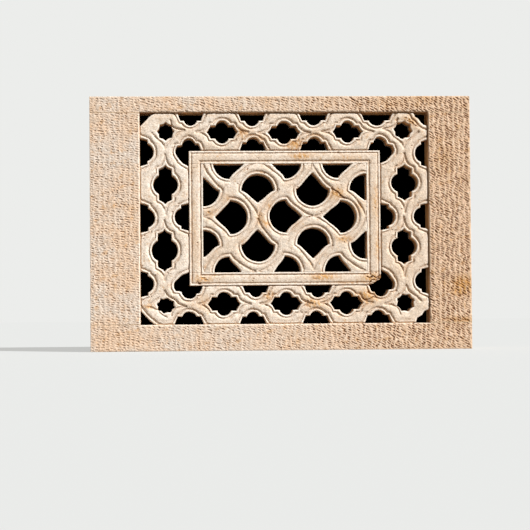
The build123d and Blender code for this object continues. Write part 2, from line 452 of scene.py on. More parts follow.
def stone_sheet(limits: Limits, step: float, gap_at: Callable) -> Sheet:
    """Triangles over the part of a rectangle that is stone.

    A square grid is cut along the line where the gap to the nearest hole is zero. Grid
    points close to that line are first moved onto it, along the slope of the gap.

    Args:
        limits: Left, right, low and high of the rectangle.
        step: Grid spacing.
        gap_at: Gives the gap to the nearest hole, negative inside one, at (x, z).

    Returns:
        The sheet, with its faces wound to face outwards, to -Y.
    """
    left, right, low, high = limits
    nx = max(2, round((right - left) / step) + 1)
    nz = max(2, round((high - low) / step) + 1)
    gx, gz = np.meshgrid(np.linspace(left, right, nx), np.linspace(low, high, nz))
    gap = gap_at(gx.ravel(), gz.ravel()).reshape(nz, nx)
    dz, dx = np.gradient(gap, (high - low) / (nz - 1), (right - left) / (nx - 1))
    slope = np.maximum(dx**2 + dz**2, 0.25)
    inner = np.zeros((nz, nx), bool)
    inner[1:-1, 1:-1] = True
    snap = inner & (np.abs(gap) < SNAP * step)
    gx = np.where(snap, gx - gap * dx / slope, gx).ravel()
    gz = np.where(snap, gz - gap * dz / slope, gz).ravel()
    gap = np.where(snap, 0, gap).ravel()
    row, col = np.mgrid[0 : nz - 1, 0 : nx - 1]
    a = (row * nx + col).ravel()
    b, c, d = a + 1, a + nx + 1, a + nx
    even = ((row + col) % 2 == 0).ravel()[:, None]
    one = np.where(even, np.stack([a, b, c], 1), np.stack([a, b, d], 1))
    two = np.where(even, np.stack([a, c, d], 1), np.stack([b, c, d], 1))
    tris = np.vstack([one, two])
    stone = gap >= 0
    held = stone[tris].sum(1)
    whole = tris[(held == 3) & (gap[tris].max(1) > 0)]
    cut = tris[(held == 1) | (held == 2)]
    ends = np.sort(np.vstack([cut[:, [0, 1]], cut[:, [1, 2]], cut[:, [2, 0]]]), 1)
    ends = ends[stone[ends[:, 0]] != stone[ends[:, 1]]]
    ends = np.unique(ends, axis=0)
    inside = np.where(stone[ends[:, 0]], ends[:, 0], ends[:, 1])
    outside = ends.sum(1) - inside

    def between(t: Array) -> tuple[Array, Array]:
        """The points at those shares of the way from inside the stone to outside it."""
        x0, z0 = gx[inside], gz[inside]
        return x0 + t * (gx[outside] - x0), z0 + t * (gz[outside] - z0)

    fall = np.maximum(gap[inside] - gap[outside], 1e-9)
    t = gap[inside] / fall
    px, pz = between(t)
    for _ in range(2):
        t = np.clip(t + gap_at(px, pz) / fall, 0, 1)
        px, pz = between(t)
    count = len(gx)
    new = np.where(gap[inside] == 0, inside, count + np.arange(len(ends)))
    keys = ends[:, 0] * count + ends[:, 1]

    def crossing(p: Array, q: Array) -> Array:
        """The point where the edge of the stone crosses the run from p to q."""
        key = np.minimum(p, q) * count + np.maximum(p, q)
        return new[np.searchsorted(keys, key)]

    parts = [whole]
    for turn in range(3):
        p, q, r = cut[:, turn], cut[:, (turn + 1) % 3], cut[:, (turn + 2) % 3]
        alone = stone[p] & ~stone[q] & ~stone[r]
        p1, q1, r1 = p[alone], q[alone], r[alone]
        parts.append(np.stack([p1, crossing(p1, q1), crossing(p1, r1)], 1))
        pair = stone[p] & stone[q] & ~stone[r]
        p2, q2, r2 = p[pair], q[pair], r[pair]
        far, close = crossing(q2, r2), crossing(p2, r2)
        parts.append(np.stack([p2, q2, far], 1))
        parts.append(np.stack([p2, far, close], 1))
    tris = np.vstack(parts)
    distinct = (tris[:, 0] != tris[:, 1]) & (tris[:, 1] != tris[:, 2])
    tris = tris[distinct & (tris[:, 2] != tris[:, 0])]
    x, z = np.append(gx, px), np.append(gz, pz)
    gap = np.append(gap, np.zeros(len(ends)))
    used, back = np.unique(tris, return_inverse=True)
    return Sheet(x[used], z[used], gap[used], back.reshape(-1, 3))


def rim(faces: Array) -> Array:
    """The edges that only one triangle has, which bound a sheet.

    Args:
        faces: The sheet's triangles.

    Returns:
        Pairs of points, with the stone on their left.
    """
    runs = np.vstack([faces[:, [0, 1]], faces[:, [1, 2]], faces[:, [2, 0]]])
    key = np.sort(runs, 1)
    _, first, times = np.unique(key, axis=0, return_index=True, return_counts=True)
    return runs[first[times == 1]]


@dataclass
class Shape:
    """A closed surface: points in drawing millimetres, triangles and named marks."""

    points: Array
    faces: Array
    marks: dict[str, Array]


def one_shape(shapes: list[Shape]) -> Shape:
    """Puts several shapes together, with the triangles' numbers moved on.

    Args:
        shapes: The shapes, which carry the same marks.

    Returns:
        The one shape.
    """
    starts = np.cumsum([0] + [len(shape.points) for shape in shapes[:-1]])
    faces = np.vstack([shape.faces + start for shape, start in zip(shapes, starts)])
    names = shapes[0].marks
    marks = {name: np.concatenate([shape.marks[name] for shape in shapes]) for name in names}
    return Shape(np.vstack([shape.points for shape in shapes]), faces, marks)


def link(name: str, data: bpy.types.ID) -> bpy.types.Object:
    """A new object in the scene that shows a mesh, a lamp or a camera.

    Args:
        name: The object's name.
        data: What it shows.

    Returns:
        The object.
    """
    made = bpy.data.objects.new(name, data)
    bpy.context.scene.collection.objects.link(made)
    return made


def new_mesh(name: str, shape: Shape, sharp: float = 42) -> bpy.types.Object:
    """Puts a shape into a new mesh object at the origin, in metres in the row frame.

    Args:
        name: The object's name.
        shape: The surface, about the middle of the opening.
        sharp: Edges that turn more than this many degrees stay hard.

    Returns:
        The object, with its marks as attributes of its points.
    """
    points = (shape.points + [LAYOUT.centre_x, 0, LAYOUT.centre_z]) / 1000
    faces = shape.faces
    mesh = bpy.data.meshes.new(name)
    mesh.vertices.add(len(points))
    mesh.vertices.foreach_set("co", points.astype(np.float32).ravel())
    mesh.loops.add(len(faces) * 3)
    mesh.loops.foreach_set("vertex_index", faces.astype(np.int32).ravel())
    mesh.polygons.add(len(faces))
    starts = np.arange(0, len(faces) * 3, 3, dtype=np.int32)
    mesh.polygons.foreach_set("loop_start", starts)
    mesh.update(calc_edges=True)
    for mark, values in shape.marks.items():
        layer = mesh.attributes.new(mark, "FLOAT", "POINT")
        layer.data.foreach_set("value", values.astype(np.float32))
    mesh.validate()
    mesh.shade_smooth()
    mesh.set_sharp_from_angle(angle=math.radians(sharp))
    return link(name, mesh)


def around(x: Array, z: Array, line: Array, reach: float) -> Array:
    """Numbers of the positions inside a line's box, widened by the reach."""
    low, high = line.min(0) - reach, line.max(0) + reach
    return np.flatnonzero((x > low[0]) & (x < high[0]) & (z > low[1]) & (z < high[1]))


def ring_of_four(names: tuple, outer: tuple, inner: tuple) -> Strips:
    """Four strips between two rectangles: those over and under run through.

    Args:
        names: The nodes over, under, left and right of the inner rectangle.
        outer: Half the width and height of the outer rectangle.
        inner: Half the width and height of the inner one.

    Returns:
        Each node's strip.
    """
    (ox, oz), (ix, iz) = outer, inner
    limits = ((-ox, ox, iz, oz), (-ox, ox, -oz, -iz), (-ox, -ix, -iz, iz), (ix, ox, -iz, iz))
    return {name: [limit] for name, limit in zip(names, limits)}


def outward(x: Array, z: Array, runs: Array) -> Array:
    """Directions out of the stone at its rim: each run's normal, averaged and scaled to 1.

    Args:
        x: The rim points' positions along x.
        z: Their positions along z.
        runs: Pairs of rim points that are joined.

    Returns:
        A unit vector for each rim point.
    """
    along = np.stack([x[runs[:, 1]] - x[runs[:, 0]], z[runs[:, 1]] - z[runs[:, 0]]], 1)
    along /= np.maximum(np.hypot(along[:, 0], along[:, 1]), 1e-9)[:, None]
    out = np.zeros((len(x), 2))
    for end in (0, 1):
        np.add.at(out, runs[:, end], np.stack([along[:, 1], -along[:, 0]], 1))
    return out / np.maximum(np.hypot(out[:, 0], out[:, 1]), 1e-9)[:, None]


@dataclass
class Stonework(ABC):
    """Pieces of stone, each with a worked face to -Y, straight sides and a plain back.

    A kind of stonework gives its strips, its skin and the gap to its holes. The levels
    are the depths of its sides' steps, as shares of its thickness, and stains run down
    the sides for stain_reach of it. The sides' depth mark, which paints shade on the sides
    in the opening, rises in a hole from the first of hole_depth by the second, and is
    plain_depth elsewhere.
    """

    step: float = 1.8
    seed: int = 0
    ending: str = "_carved"
    levels: tuple = (0.05, 0.18, 0.45, 0.75, 1.0)
    side_rough: float = 0.45
    side_wave: float = 13.0
    stain_reach: float = 0.25
    slack: float = 0.3
    back_step: float = 12.0
    side_dirt: float = 0.15
    back_dirt: float = 0.2
    # Depth mark for painted shade on the sides of holes, and its value outside them.
    hole_depth: tuple = (0.35, 2.0)
    plain_depth: float = 0.1

    @abstractmethod
    def strips(self) -> Strips:
        """Every node's blocks, by its name."""

    @abstractmethod
    def skin_at(self, x: Array, z: Array, gap: Array) -> Skin:
        """The worked face at positions with that gap to the nearest hole."""

    def depths(self, name: str) -> tuple[float, float]:
        """Where a node's plain face and its back are: at those of the lattice's slabs."""
        return LAYOUT.slab_front, LAYOUT.slab_back

    def gap_at(self, x: Array, z: Array) -> Array:
        """Gap to the nearest hole's edge, far everywhere in stone without holes."""
        return np.full(x.shape, FAR)

    def build(self) -> Pieces:
        """Builds every node's piece, with sides of its own roughness.

        Returns:
            The mesh objects, by the name of the node that each stands for.
        """
        made = {}
        for number, (name, blocks) in enumerate(self.strips().items()):
            shapes = [self.solid(block, *self.depths(name), self.seed + number) for block in blocks]
            made[name] = new_mesh(name + self.ending, one_shape(shapes))
        return made

    def solid(self, limits: Limits, front: float, back: float, seed: int) -> Shape:
        """Makes the face, the sides and the back of a block as one closed surface.

        The sides drop from the face's rim to the back in steps, each step moved a
        little along the rim's own outward direction, as a chisel leaves them.

        Args:
            limits: The block's left, right, low and high.
            front: Its plain face, along y.
            back: Its back.
            seed: Picks the roughness of its sides.

        Returns:
            The surface, with marks for dirt, rust, pale arrises and painted shade by depth in a hole.
        """
        sheet = stone_sheet(limits, self.step, self.gap_at)
        skin = self.skin_at(sheet.x, sheet.z, sheet.gap)
        ring, runs = np.unique(rim(sheet.faces), return_inverse=True)
        runs = runs.reshape(-1, 2)
        a, b = runs.T
        x, z = sheet.x[ring], sheet.z[ring]
        out = outward(x, z, runs)
        shaded = np.abs(x) < LAYOUT.open_x + self.slack
        shaded &= np.abs(z) < LAYOUT.open_z + self.slack
        face = front - skin.height
        points = [np.stack([sheet.x, face, sheet.z], 1)]
        marks = [np.stack([skin.dirt, skin.rust, skin.pale, np.zeros(len(face))], 1)]
        faces = [sheet.faces]
        before, count = ring, len(face)
        mouth, rise = self.hole_depth
        for number, share in enumerate(self.levels):
            y = face[ring] + share * (back - face[ring])
            rough = ripple(x + 3 * y, z - 2 * y, self.side_wave, seed + number, 5)
            move = np.where(shaded & (share < 1), self.side_rough * rough, 0)
            points.append(np.stack([x + move * out[:, 0], y, z + move * out[:, 1]], 1))
            # Painted shade: the depth mark darkens the sides in the opening, more towards the back.
            deep = np.where(shaded, mouth + rise * share, self.plain_depth)
            stain = skin.rust[ring] * max(0.0, 1 - share / self.stain_reach)
            marks.append(np.stack([self.side_dirt + 0 * y, stain, 0 * y, deep], 1))
            here = count + np.arange(len(ring))
            faces.append(np.stack([before[b], before[a], here[a]], 1))
            faces.append(np.stack([before[b], here[a], here[b]], 1))
            before, count = here, count + len(ring)
        spots, filled = self.back_of(limits, np.stack([x, z], 1), runs, before, count)
        points.append(np.insert(spots, 1, back, axis=1))
        plain = [self.back_dirt, 0.0, 0.0, self.plain_depth]
        marks.append(np.tile(plain, (len(spots), 1)))
        columns = zip(("dirt", "rust", "pale", "depth"), np.vstack(marks).T)
        return Shape(np.vstack(points), np.vstack([*faces, filled]), dict(columns))

    def back_of(self, limits: Limits, ring: Array, runs: Array, ids: Array, count: int) -> tuple:
        """Fills the back between the rim's loops, with a few points of its own.

        Args:
            limits: The block's left, right, low and high.
            ring: The rim's points, x and z.
            runs: Pairs of rim points that are joined.
            ids: The rim points' numbers in the whole surface.
            count: The number that the next new point gets.

        Returns:
            New points' x and z, and the triangles, facing +Y.
        """
        left, right, low, high = limits
        s = self.back_step
        across = np.arange(left + s, right - s / 2, s)
        net = np.meshgrid(across, np.arange(low + s, high - s / 2, s))
        net = np.stack([line.ravel() for line in net], 1)
        if len(net):
            net = net[self.gap_at(*net.T) > 0.4 * s]
        points = [Vector(p) for p in np.vstack([ring, net])]
        made = geometry.delaunay_2d_cdt(points, [tuple(r) for r in runs.tolist()], [], 0, 1e-5)
        spots = np.array([tuple(v) for v in made[0]])
        tris = np.array([f for f in made[2] if len(f) == 3])
        source = np.array([o[0] if len(o) else -1 for o in made[3]])
        tris = tris[self.gap_at(*spots[tris].mean(1).T) > 0]
        number = np.where(source < len(ring), ids[np.clip(source, 0, len(ring) - 1)], 0)
        extra = (source >= len(ring)) | (source < 0)
        number[extra] = count + np.arange(extra.sum())
        return spots[extra], number[tris][:, ::-1]


@dataclass(frozen=True)
class Relief:
    """How deep the mason cut the face, in millimetres.

    groove is the depth of an incised line and flat half the width of its bottom. roll
    and lip are half its width at the top, on the bead's side and on the other. bead is
    the bead's width, arris and arris_drop the width and depth of an edge's rounding, and
    crown the rise of the face between two lines.
    """

    groove: float = 6.0
    flat: float = 2.0
    roll: float = 5.9
    lip: float = 6.8
    bead: float = 12.5
    arris: float = 6.6
    arris_drop: float = 5.0
    crown: float = 1.8

    def height(self, edge: Array, groove: Array) -> Array:
        """Height over the slab's plain face.

        The bead is round towards the hole and towards the incised line, by quarter
        circles, 1 - sqrt(1 - t^2). The line has a flat bottom and a sloping far side, and
        the face between two lines rises to a slight crown.

        Args:
            edge: Distance to the nearest edge.
            groove: Distance to the nearest incised line.

        Returns:
            The height, zero or less except on the crown.
        """
        drop = 1 - np.sqrt(1 - (1 - np.clip(edge / self.arris, 0, 1)) ** 2)
        cut = self.cut(edge, groove)
        rolled = 1 - np.sqrt(np.clip(1 - cut**2, 0, 1))
        cut = np.where(edge < self.bead, rolled, cut**1.3)
        rise = smooth(groove, 1.0, 15.0) * smooth(edge, 6.0, 22.0)
        return self.crown * rise - self.arris_drop * drop - self.groove * cut

    def cut(self, edge: Array, groove: Array) -> Array:
        """Nearness to an incised line, 1 on its flat bottom and 0 at its lips."""
        half = np.where(edge < self.bead, self.roll, self.lip)
        return np.clip((half - groove) / (half - self.flat), 0, 1)


@dataclass(frozen=True)
class Wear:
    """Pits, chips, cracks and stains, at places read off the window.

    A chip is its middle's x and z, its reach along both and its depth, and a stain the
    same with its strength. A crack is its points, half its width and its depth.
    """

    chips: tuple = ()
    cracks: tuple = ()
    stains: tuple = ()
    pit_cell: float = 26.0
    pit_share: float = 0.42
    crack_reach: float = 6.0
    deepest_pit: float = 3.2

    def pits(self, x: Array, z: Array, seed: int) -> Array:
        """Depth of small round pits, one in some of the cells of a square net.

        Args:
            x, z: Positions, in millimetres.
            seed: Picks their places and sizes.

        Returns:
            The depth, at most deepest_pit.
        """
        depth = np.zeros(x.shape)
        ix, iz = np.floor(x / self.pit_cell), np.floor(z / self.pit_cell)
        for du in (-1, 0, 1):
            for dw in (-1, 0, 1):
                cx, cz = ix + du, iz + dw
                px = (cx + scatter(cx, cz, seed)) * self.pit_cell
                pz = (cz + scatter(cx, cz, seed + 1)) * self.pit_cell
                size = 1.1 + 2.6 * scatter(cx, cz, seed + 2) ** 3
                there = scatter(cx, cz, seed + 3) < self.pit_share
                gap = np.hypot((x - px) * 0.8, z - pz) / size
                depth += np.where(there, 0.9 * size * np.clip(1 - gap**2, 0, 1), 0)
        return np.minimum(depth, self.deepest_pit)

    def dents(self, x: Array, z: Array) -> Array:
        """Depth of the larger chips, each a bowl with a ragged rim.

        Args:
            x, z: Positions, in millimetres.

        Returns:
            The depth.
        """
        depth = np.zeros(x.shape)
        for cx, cz, wide, high, deep in self.chips:
            gap = np.hypot((x - cx) / wide, (z - cz) / high) + 0.18 * ripple(x, z, 9, 5)
            depth = np.maximum(depth, deep * smooth(1 - gap, 0.0, 0.7))
        return depth

    def splits(self, x: Array, z: Array) -> Array:
        """Depth of the cracks, thin V-shaped cuts along crooked lines.

        Args:
            x, z: Positions, in millimetres.

        Returns:
            The depth.
        """
        depth = np.zeros(x.shape)
        for points, wide, deep in self.cracks:
            line = np.array(points, float)
            here = around(x, z, line, self.crack_reach)
            if len(here):
                cut = deep * np.clip(1 - near(x[here], z[here], line) / wide, 0, 1)
                depth[here] = np.maximum(depth[here], cut)
        return depth

    def rust(self, x: Array, z: Array) -> Array:
        """Strength of the iron stains, soft blots broken up by unevenness.

        Args:
            x, z: Positions, in millimetres.

        Returns:
            The strength, from 0 to 1.
        """
        total = np.zeros(x.shape)
        for cx, cz, wide, high, amount in self.stains:
            gap = ((x - cx) / wide) ** 2 + ((z - cz) / high) ** 2
            total += amount * np.exp(-gap)
        broken = 0.85 + 0.7 * ripple(x, z, 14, 31) + 0.4 * ripple(x, z, 6, 32)
        return np.clip(total * broken, 0, 1)


@dataclass(frozen=True)
class Corner:
    """One corner of the border, and the sizes of its holes as shares of those drawn.

    s is 1 at the right and -1 at the left, and t is 1 at the top and -1 at the bottom.
    """

    s: int
    t: int
    rail_leg: float
    stile_leg: float
    beside: float
    over: float
    small: tuple
    shift: tuple
    triangle: float
    spin: float = 0.0
    outer: tuple = ()
    wedge: tuple = ((-56, 0), (-36, -14), (-17, -34), (0, -52))
    rib: tuple = ()

    @property
    def legs(self) -> tuple[float, float]:
        """How far the triangle reaches along the opening's two sides."""
        return 56 * self.triangle, 52 * self.triangle

    def holes(self) -> list[Hole]:
        """Draws this corner's holes.

        Returns:
            The hole round the frame's corner, the small one outside it and the triangle.
        """
        bend = [np.array([(-58, -3), (-58, 0), (-50, 20), (-44, 31)], float)]
        bend += [arc((-30, 33), (-1, 55), (27, 31)), np.array([(30, 24), (48, 21)], float)]
        bend += [arc((50, 19), (56, -2), (45, -24)), np.array([(38, -34), (27, -46)], float)]
        bend += [np.array([(9, -55), (0, -60), (-3, -60), (-3, -3)], float)]
        line = [eased([(-86, 1), (-70, 4), (-62, 26), (-54, 42), (-36, 44)], 2)]
        line += [arc((-36, 44), (-1, 66), (36, 40)), eased([(38, 34), (60, 31), (61, 22)], 2)]
        line += [arc((61, 20), (67, -2), (56, -29)), eased([(48, -44), (33, -57)], 1)]
        line += [eased([(33, -57), (14, -67), (4, -73), (1, -90)], 2)]
        frame = (LAYOUT.frame_x, LAYOUT.frame_z)
        bent = self.hole(self.stretched(np.vstack(bend)), [self.stretched(np.vstack(line))], frame)
        spin = np.radians(np.arange(0, 360, 5))
        reach = 36 * (1 - 0.16 * np.abs(np.sin(4 * spin + self.spin)))
        star = np.stack([reach * np.cos(spin) - 1, reach * np.sin(spin)], 1) * self.small
        inner = [(-80, 5), (-52, -6), (-36, -28), (-12, -42), (2, -68)]
        drawn = [inner, [(-22, 44), (-29, 22), (-47, 9), (-80, 5)]]
        drawn += [[(2, -68), (12, -45), (36, -28), (58, -8)], list(self.outer)]
        lines = [eased(line, 2) * self.small for line in drawn if line]
        middle = (476 + self.shift[0], 348 + self.shift[1])
        little = self.hole(star, lines, middle)
        wedge = [(3, 3), (self.wedge[0][0], 3), *self.wedge, (3, self.wedge[-1][1])]
        wedge = np.array(wedge, float) * self.triangle
        rib = [eased(list(self.rib), 2) * self.triangle] if self.rib else []
        return [bent, little, self.hole(wedge, rib, (LAYOUT.open_x, LAYOUT.open_z))]

    def stretched(self, line: Array) -> Array:
        """A line about the frame's corner, each side of it at its own share.

        Args:
            line: The line's points.

        Returns:
            The stretched line's points.
        """
        x = np.where(line[:, 0] < 0, self.rail_leg, self.beside) * line[:, 0]
        z = np.where(line[:, 1] < 0, self.stile_leg, self.over) * line[:, 1]
        return np.stack([x, z], 1)

    def hole(self, edge: Array, lines: list[Array], middle: tuple[float, float]) -> Hole:
        """A hole and its lines drawn for the upper right, mirrored to this corner."""
        turn = (self.s, self.t)
        return Hole((edge + middle) * turn, tuple((line + middle) * turn for line in lines))


@dataclass(frozen=True)
class Border:
    """The border's chains as set out: no two holes are quite alike.

    Full holes have their middle and their size along and across the chain, as shares of
    the drawn size. Half holes have their middle along the edge that they stand on.
    """

    row: CuspedHole = CuspedHole(half_length=63, corner=(46, 26), lobe=26, reach=47, run=104)
    row_holes: tuple = (
        (-250, 345, 0.97, 0.96), (-2, 342, 1.02, 0.95), (254, 345, 0.95, 0.92),
        (-246, -343, 1.03, 1.0), (2, -343, 0.98, 0.96), (244, -342, 1.04, 0.96),
    )
    row_half: HalfHole = HalfHole(half_length=57, corner=(45, 35), lobe=27, reach=57)
    lintel: tuple = ((-376, 0.92, 0.92), (-130, 0.95, 0.96), (118, 1.02, 0.93), (372, 1.12, 0.95))
    sill: tuple = ((-386, 1.02, 0.88), (-131, 0.93, 0.84), (123, 0.96, 0.88), (371, 0.96, 0.9))
    top_rail: tuple = ((-126, 0.92, 0.94), (120, 1.0, 0.95))
    bottom_rail: tuple = ((-119, 0.92, 0.82), (130, 0.98, 0.87))
    side: CuspedHole = CuspedHole(half_length=84, corner=(66, 27), lobe=40, reach=52.5, run=118)
    side_holes: tuple = (
        (-482, -128, 0.99, 0.98), (-478, 135, 0.92, 0.92),
        (478, -118, 0.84, 0.96), (482, 139, 0.85, 1.02),
    )
    side_half: HalfHole = HalfHole(half_length=58, corner=(50, 30), lobe=37, reach=55, flare=12)
    left_jamb: tuple = ((-262, 0.87, 0.96), (2, 1.02, 1.06), (265, 0.97, 0.98))
    right_jamb: tuple = ((-255, 0.91, 1.04), (4, 0.9, 1.1), (257, 0.94, 0.96))
    left_stile: tuple = ((5, 0.93, 1.06),)
    right_stile: tuple = ((3, 0.94, 1.08),)
    corners: tuple = (
        Corner(
            s=-1, t=1, rail_leg=0.84, stile_leg=1.02, beside=0.95, over=0.9,
            small=(0.94, 0.98), shift=(0, 0), triangle=1.1,
        ),
        Corner(
            s=1, t=1, rail_leg=0.8, stile_leg=0.86, beside=1.0, over=0.98,
            small=(1.04, 1.02), shift=(3, 3), triangle=1.05, spin=0.5,
            wedge=((-56, 0), (-49, -18), (-37, -25), (-27, -39), (-16, -49), (0, -52)),
            rib=((-80, -2), (-69, -8), (-61, -27), (-47, -36), (-37, -51), (-23, -62), (-3, -68)),
        ),
        Corner(
            s=-1, t=-1, rail_leg=0.87, stile_leg=0.9, beside=1.12, over=0.95,
            small=(1.02, 0.85), shift=(4, 0), triangle=1.05, spin=0.9,
            outer=((58, 8), (31, 19), (20, 36), (-2, 52)),
            rib=((-78, -3), (-62, -9), (-34, -31), (-9, -60), (-3, -74)),
        ),
        Corner(
            s=1, t=-1, rail_leg=0.84, stile_leg=1.0, beside=0.97, over=0.87,
            small=(1.04, 1.0), shift=(6, -5), triangle=1.2, spin=1.3,
            wedge=((-47, 0), (-43, -16), (-27, -25), (-17, -39), (0, -44)),
        ),
    )

    def holes(self) -> list[Hole]:
        """Places every hole of the border.

        Returns:
            The full holes, the half ones over, under and beside the frame, and the corners'.
        """
        ox, oz, fx, fz = LAYOUT.open_x, LAYOUT.open_z, LAYOUT.frame_x, LAYOUT.frame_z
        made = [self.row.sized(a, o).at(x, z) for x, z, a, o in self.row_holes]
        made += [self.side.sized(a, o).at(x, z, 90) for x, z, a, o in self.side_holes]
        rows = ((self.lintel, oz, 180), (self.sill, -oz, 0), (self.top_rail, fz, 0))
        for halves, z, turn in (*rows, (self.bottom_rail, -fz, 180)):
            made += [self.row_half.sized(a, o).at(x, z, turn) for x, a, o in halves]
        sides = ((self.left_jamb, -ox, -90), (self.right_jamb, ox, 90), (self.left_stile, -fx, 90))
        for halves, x, turn in (*sides, (self.right_stile, fx, -90)):
            made += [self.side_half.sized(a, o).at(x, z, turn) for z, a, o in halves]
        for corner in self.corners:
            made += corner.holes()
        return made

    def pads_along(self, t: int) -> Spans:
        """Runs where the ribbons touch the lintel, t = 1, or the sill, t = -1."""
        ends = [c.s * (LAYOUT.open_x - c.legs[0]) for c in self.corners if c.t == t]
        return self.pads(self.lintel if t > 0 else self.sill, self.row_half.half_length, ends)

    def pads_beside(self, s: int) -> Spans:
        """Runs where the ribbons touch the left jamb, s = -1, or the right one, s = 1."""
        ends = [c.t * (LAYOUT.open_z - c.legs[1]) for c in self.corners if c.s == s]
        return self.pads(self.right_jamb if s > 0 else self.left_jamb, self.side_half.half_length, ends)

    def pads(self, halves: tuple, base: float, ends: list[float]) -> Spans:
        """Runs along one side of the opening where the ribbons touch the wall.

        Args:
            halves: The half holes along that side.
            base: Their drawn half width.
            ends: Where the triangles at both corners end.

        Returns:
            The first and last place of each run.
        """
        marks = list(ends)
        for middle, along, _ in halves:
            marks += [middle - base * along, middle + base * along]
        marks.sort()
        return list(zip(marks[::2], marks[1::2]))


BORDER = Border()


@dataclass
class Pierced:
    """Stone with holes in it, cut by a hand that wavers a little."""

    holes: list[Hole]
    seed: int = 11
    reach: float = FAR
    opened: float = 0.9

    def gap(self, x: Array, z: Array) -> Array:
        """Gap to the nearest hole's edge, negative inside a hole, at most the reach."""
        return self.nearest(x, z, [hole.edge for hole in self.holes], True)

    def groove(self, x: Array, z: Array) -> Array:
        """Distance to the nearest incised line, at most the reach."""
        return self.nearest(x, z, [line for hole in self.holes for line in hole.lines], False)

    def nearest(self, x: Array, z: Array, lines: list[Array], rings: bool) -> Array:
        """Distance to the nearest of some lines, from positions shifted by up to 1.5 mm.

        The shift makes that no two cuts are quite alike.

        Args:
            x, z: Positions, in millimetres.
            lines: The lines.
            rings: Whether they are holes' edges, closed and opened up by a little.

        Returns:
            The distance of each position, negative inside a ring.
        """
        s = self.seed
        shift = [1.1 * ripple(x, z, 70, k) + 0.4 * ripple(x, z, 22, k + 1) for k in (s, s + 2)]
        x, z = x + shift[0], z + shift[1]
        gap = np.full(x.shape, self.reach)
        for line in lines:
            here = around(x, z, line, self.reach)
            if len(here):
                px, pz = x[here], z[here]
                away = near(px, pz, np.vstack([line, line[:1]]) if rings else line)
                if rings:
                    away = np.where(within(px, pz, line), -away, away) - self.opened
                gap[here] = np.minimum(gap[here], away)
        return gap


@dataclass
class CarvedWork(Stonework):
    """Stonework with incised lines, beads, rounded arrises, wear, and painted shade and highlights."""

    relief: Relief = Relief()
    wear: Wear = Wear()
    wear_seed: int = 41
    stone: Pierced | None = None

    def gap_at(self, x: Array, z: Array) -> Array:
        """Gap to the nearest hole's edge."""
        return self.stone.gap(x, z)

    def carved(self, x: Array, z: Array, edge: Array, groove: Array) -> Skin:
        """A carved face with its wear.

        The lines fade and deepen a little on their way. Arrises and the lips of the lines
        are paler, partly from hands and weather and partly as a painted highlight. Cuts, pits,
        chips and cracks are darker, partly from dirt and partly as painted shade.

        Args:
            x, z: Positions, in millimetres.
            edge: Distance to the nearest edge.
            groove: Distance to the nearest incised line.

        Returns:
            The skin.
        """
        seed, relief, wear = self.wear_seed, self.relief, self.wear
        faded = 0.86 + 0.3 * ripple(x, z, 55, seed)
        plain = relief.height(edge, np.full(x.shape, FAR))
        height = plain + (relief.height(edge, groove) - plain) * np.clip(faded, 0.5, 1.1)
        pits, dents, splits = wear.pits(x, z, seed), wear.dents(x, z), wear.splits(x, z)
        height = height - pits - dents - splits
        height += 0.55 * ripple(x, z, 26, seed + 1) + 0.40 * ripple(x, z, 10, seed + 2, 9)
        cut = relief.cut(edge, groove)
        # Dirt in the lines, pits, chips and cracks: partly dirt, partly painted shade in them.
        dirt = np.clip(0.26 * cut**3 + 0.8 * pits / 3 + 0.25 * dents + 0.9 * splits / 4, 0, 1)
        rust = np.clip(wear.rust(x, z) + 0.12 * dents, 0, 1)
        # Pale arrises and lips: partly worn by hands and weather, partly a painted highlight.
        lip = smooth(edge, 0.0, 1.5) * (1 - smooth(edge, 3.0, 8.5))
        pale = lip * (1 - cut) * (0.7 + 0.4 * ripple(x, z, 18, seed + 3)) * (1 - 0.7 * rust)
        return Skin(height, dirt, rust, np.clip(pale, 0, 1))


